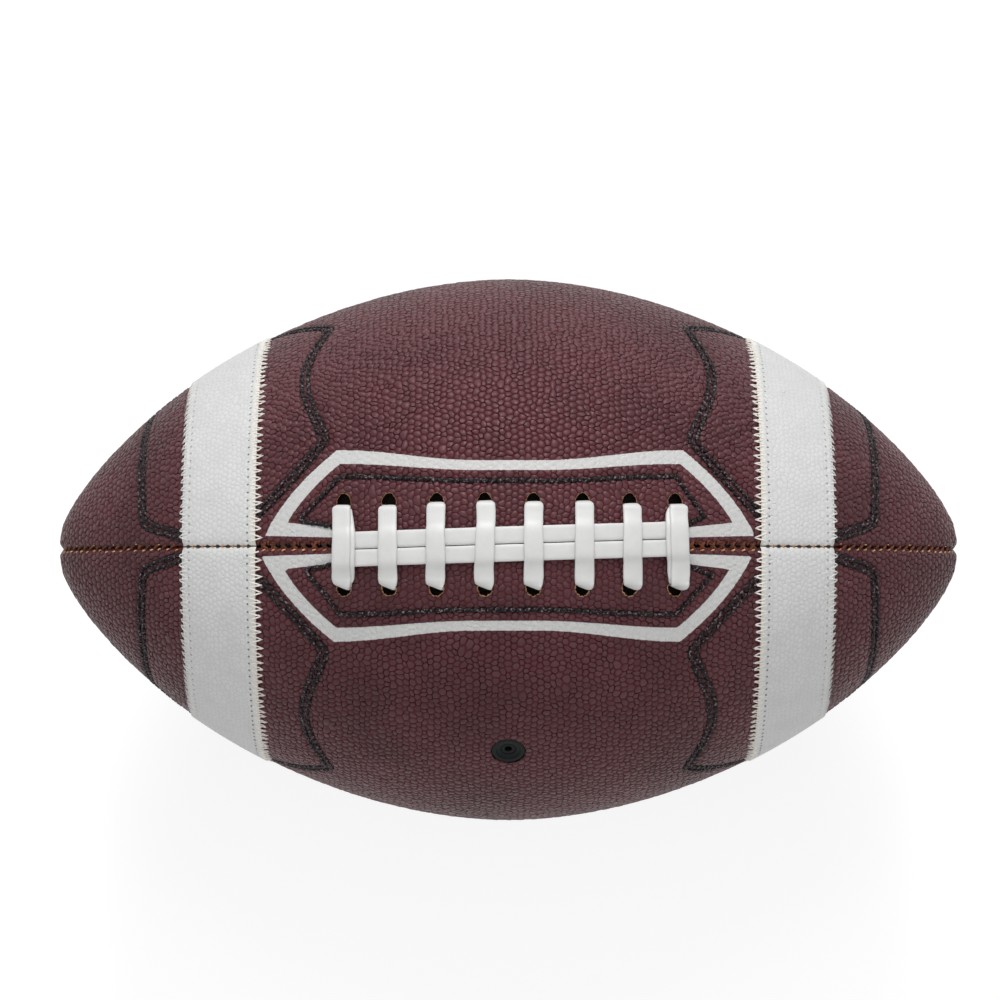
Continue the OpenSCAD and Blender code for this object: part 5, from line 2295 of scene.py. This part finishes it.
@dataclass(frozen=True)
class Studio:
    """Floor, lights and camera."""

    camera_distance: float = 1270.0  # Distance of the camera from the ball's axis
    camera_tilt: float = 0.87  # How far the camera leans towards the right side of the ball, in degrees
    focal_pixels: float = 4002.0  # Focal length, in pixels of the photograph
    centre_pixel: Spot = (508.3, 549.5)  # Where the middle of the ball lies in the photograph
    picture: float = 1000.0  # Width of the photograph in pixels
    sensor: float = 36.0  # Width of the camera's sensor
    clipping: Spot = (0.01, 20)  # Nearest and farthest distance that the camera sees, in metres
    floor_size: float = 6.0  # Width of the floor, in metres
    floor_height: float = -0.45
    floor_white: Colour = (0.34, 0.34, 0.34, 1.0)
    floor_glow: float = 0.76  # How brightly it shows to the camera
    floor_roughness: float = 0.9
    world_far: float = 0.2  # Strength of the room's light from the left side of the ball
    world_near: float = 0.98  # Strength from its right side
    aim: tuple[float, float, float] = (0, 0, 0.085)  # Point that the lights face, in metres
    lights: tuple[Softbox, ...] = (
        Softbox("key_softbox", (0.0, 1.4, 0.92), 0.55, 18.0),
        Softbox("top_softbox", (0.0, 1.0, 1.55), 0.4, 4.0),
    )

    def add_camera(self, ball: BallShape) -> None:
        """Places the camera as in the photograph.

        Args:
            ball: The ball.
        """
        tilt = math.radians(self.camera_tilt)
        axis = np.array([0, 0, ball.axis_height])
        seat = axis + self.camera_distance * np.array([0, -math.sin(tilt), math.cos(tilt)])
        right_shift, down_shift = (
            (pixel - self.picture / 2) / self.focal_pixels * self.camera_distance for pixel in self.centre_pixel
        )
        ahead = unit(axis + np.array([-right_shift, down_shift, 0]) - seat)
        right = unit(np.cross(ahead, [0.0, 1.0, 0.0]))
        data = bpy.data.cameras.new("camera")
        data.sensor_width = self.sensor
        data.lens = self.focal_pixels / self.picture * self.sensor
        data.clip_start, data.clip_end = self.clipping
        camera = bpy.data.objects.new("camera", data)
        camera.location = Vector(seat * MM)
        camera.rotation_euler = Matrix(np.stack([right, np.cross(right, ahead), -ahead], -1).tolist()).to_euler()
        bpy.context.scene.collection.objects.link(camera)
        bpy.context.scene.camera = camera

    def add_floor(self) -> None:
        """Lays the pale floor, which glows to the camera but throws no more light on the ball."""
        half, n = self.floor_size / 2 / MM, Nodes(bpy.data.materials.new("pale_floor"))
        shader = n.tree.nodes["Principled BSDF"]
        looks = {"Base Color": self.floor_white, "Roughness": self.floor_roughness, "Specular IOR Level": 0.0}
        for name, value in looks.items():
            n.put(shader.inputs[name], value)
        strength = n.maths("MULTIPLY", n.seen(), self.floor_glow)
        glow = n.add("ShaderNodeEmission", {"Color": WHITE, "Strength": strength})
        both = n.add("ShaderNodeAddShader", {0: shader.outputs[0], 1: glow.outputs[0]})
        n.put(n.tree.nodes["Material Output"].inputs["Surface"], both.outputs[0])
        corners = [(x * half, y * half, self.floor_height) for x, y in ((-1, -1), (1, -1), (1, 1), (-1, 1))]
        floor = MeshData(np.array(corners), [(0, 1, 2, 3)]).build("floor", [n.owner])

    def add_world(self) -> None:
        """Fills the room with soft light, and shows it white."""
        n = Nodes(bpy.data.worlds.new("room"))
        bpy.context.scene.world = n.owner
        soft = n.tree.nodes["Background"]
        parts = n.add("ShaderNodeSeparateXYZ", {0: n.places["Generated"]}).outputs
        n.put(soft.inputs["Color"], WHITE)
        n.put(soft.inputs["Strength"], n.ramp(parts["Y"], -1.0, 1.0, self.world_near, self.world_far))
        shown = n.add("ShaderNodeBackground", {"Color": WHITE})
        both = n.add("ShaderNodeMixShader", {0: n.seen(), 1: soft.outputs[0], 2: shown.outputs[0]})
        n.put(n.tree.nodes["World Output"].inputs["Surface"], both.outputs[0])

    def add_light(self, box: Softbox) -> None:
        """Hangs one soft light that faces the ball.

        Args:
            box: The light.
        """
        data = bpy.data.lights.new(box.name, "AREA")
        data.size, data.energy = box.size, box.watts
        light = bpy.data.objects.new(box.name, data)
        light.location = box.place
        light.rotation_euler = (Vector(self.aim) - Vector(box.place)).to_track_quat("-Z", "Y").to_euler()
        bpy.context.scene.collection.objects.link(light)

    def build(self, ball: BallShape) -> None:
        """Sets up the whole studio.

        Args:
            ball: The ball.
        """
        self.add_camera(ball)
        self.add_floor()
        self.add_world()
        for box in self.lights:
            self.add_light(box)
        bpy.context.scene.view_settings.view_transform = "Standard"


def sew_panel(ball: BallShape, panel: Panel, layout: LaceLayout, grain: Grain, finishes: Finishes) -> None:
    """Builds one leather panel and the stitches that show on it.

    Args:
        ball: The ball.
        panel: The panel.
        layout: The layout of the laces.
        grain: The grain of the leather.
        finishes: The materials.
    """
    patch = PatchRows().routes(ball, panel)
    border = [layout.border_route(ball, panel.side)] if panel.has_laces else []
    leather = LeatherPanel(ball, grain, panel, layout=layout, stitch_lines=patch + border).build(finishes)
    log.info("%s has %d faces", leather.name, len(leather.data.polygons))
    for name, lines, stitching in (
        ("patch", patch, Stitching(Stitch(3.2, 1.15, 0.3, slant=13), 2.3, 50 + panel.value)),
        ("lace_border", border, Stitching(Stitch(3.0, 1.25, 0.3, slant=16), 2.2, 70 + panel.value)),
    ):
        if lines:
            mesh = stitching.mesh(ball, lines)
            thread = mesh.build(f"{name}_stitches_{panel.name.lower()}", [finishes.black_thread])
            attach(thread, "root")
            log.info("%s has %d faces", thread.name, len(thread.data.polygons))


def seam_threads(ball: BallShape, stripes: StripeLayout) -> list[SeamThread]:
    """Lays out the threads of the four seams.

    Args:
        ball: The ball.
        stripes: The sizes of the stripes, which the threads pass between.

    Returns:
        The threads, of which the lace seam has one at each end.
    """
    tip, open_end = ball.half_length - 0.8, 50.0
    near, far = stripes.near, stripes.near + stripes.width
    fore = ((open_end, near, SeamKind.OPEN), (near, far, SeamKind.STRIPED), (far, tip, SeamKind.TIGHT))
    aft = tuple((-end, -start, kind) for start, end, kind in fore)
    side = ((-tip, -far, SeamKind.TIGHT), (-near, near, SeamKind.TIGHT), (far, tip, SeamKind.TIGHT))
    return [
        SeamThread("seam_thread_lace_fore", "lace_seam_thread_fore", 0.0, fore, 61),
        SeamThread("seam_thread_lace_aft", "lace_seam_thread_aft", 0.0, aft, 62),
        SeamThread("seam_thread_left", "left_seam_thread", QUARTER, side, 63),
        SeamThread("seam_thread_right", "right_seam_thread", -QUARTER, side, 64),
        SeamThread("seam_thread_base", "base_seam_thread", 2 * QUARTER, ((-tip, tip, SeamKind.TIGHT),), 65),
    ]


def main() -> None:
    """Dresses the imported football."""
    logging.basicConfig(level=logging.INFO, format="%(name)s: %(message)s")
    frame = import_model()
    ball = BallShape.from_frame()
    Studio().build(ball)
    finishes = Finishes(ball)
    layout, stripes = LaceLayout(), StripeLayout()
    leather_grain = Grain(pitch=2.0, height=0.46, seed=11)
    stripe_grain = Grain(pitch=1.6, height=0.11, seed=23, jitter_share=0.42, missing_share=0.03)

    for panel in Panel:
        sew_panel(ball, panel, layout, leather_grain, finishes)
    pieces = []
    for panel in (Panel.LACE_LEFT, Panel.LACE_RIGHT):
        for end in (-1, 1):
            pieces += Stripe(ball, stripe_grain, panel, end=end, layout=stripes).build(finishes)
    pieces.append(Lace(layout).build(ball, finishes))
    pieces += [seam.build(ball, finishes) for seam in seam_threads(ball, stripes)]
    pieces += Valve(ball).build(finishes)
    for piece in pieces:
        log.info("%s has %d faces", piece.name, len(piece.data.polygons))
    log.info("%d inner pieces are dressed", InnerLayers().dress(frame["nodes"], finishes))


if __name__ == "__main__":
    main()
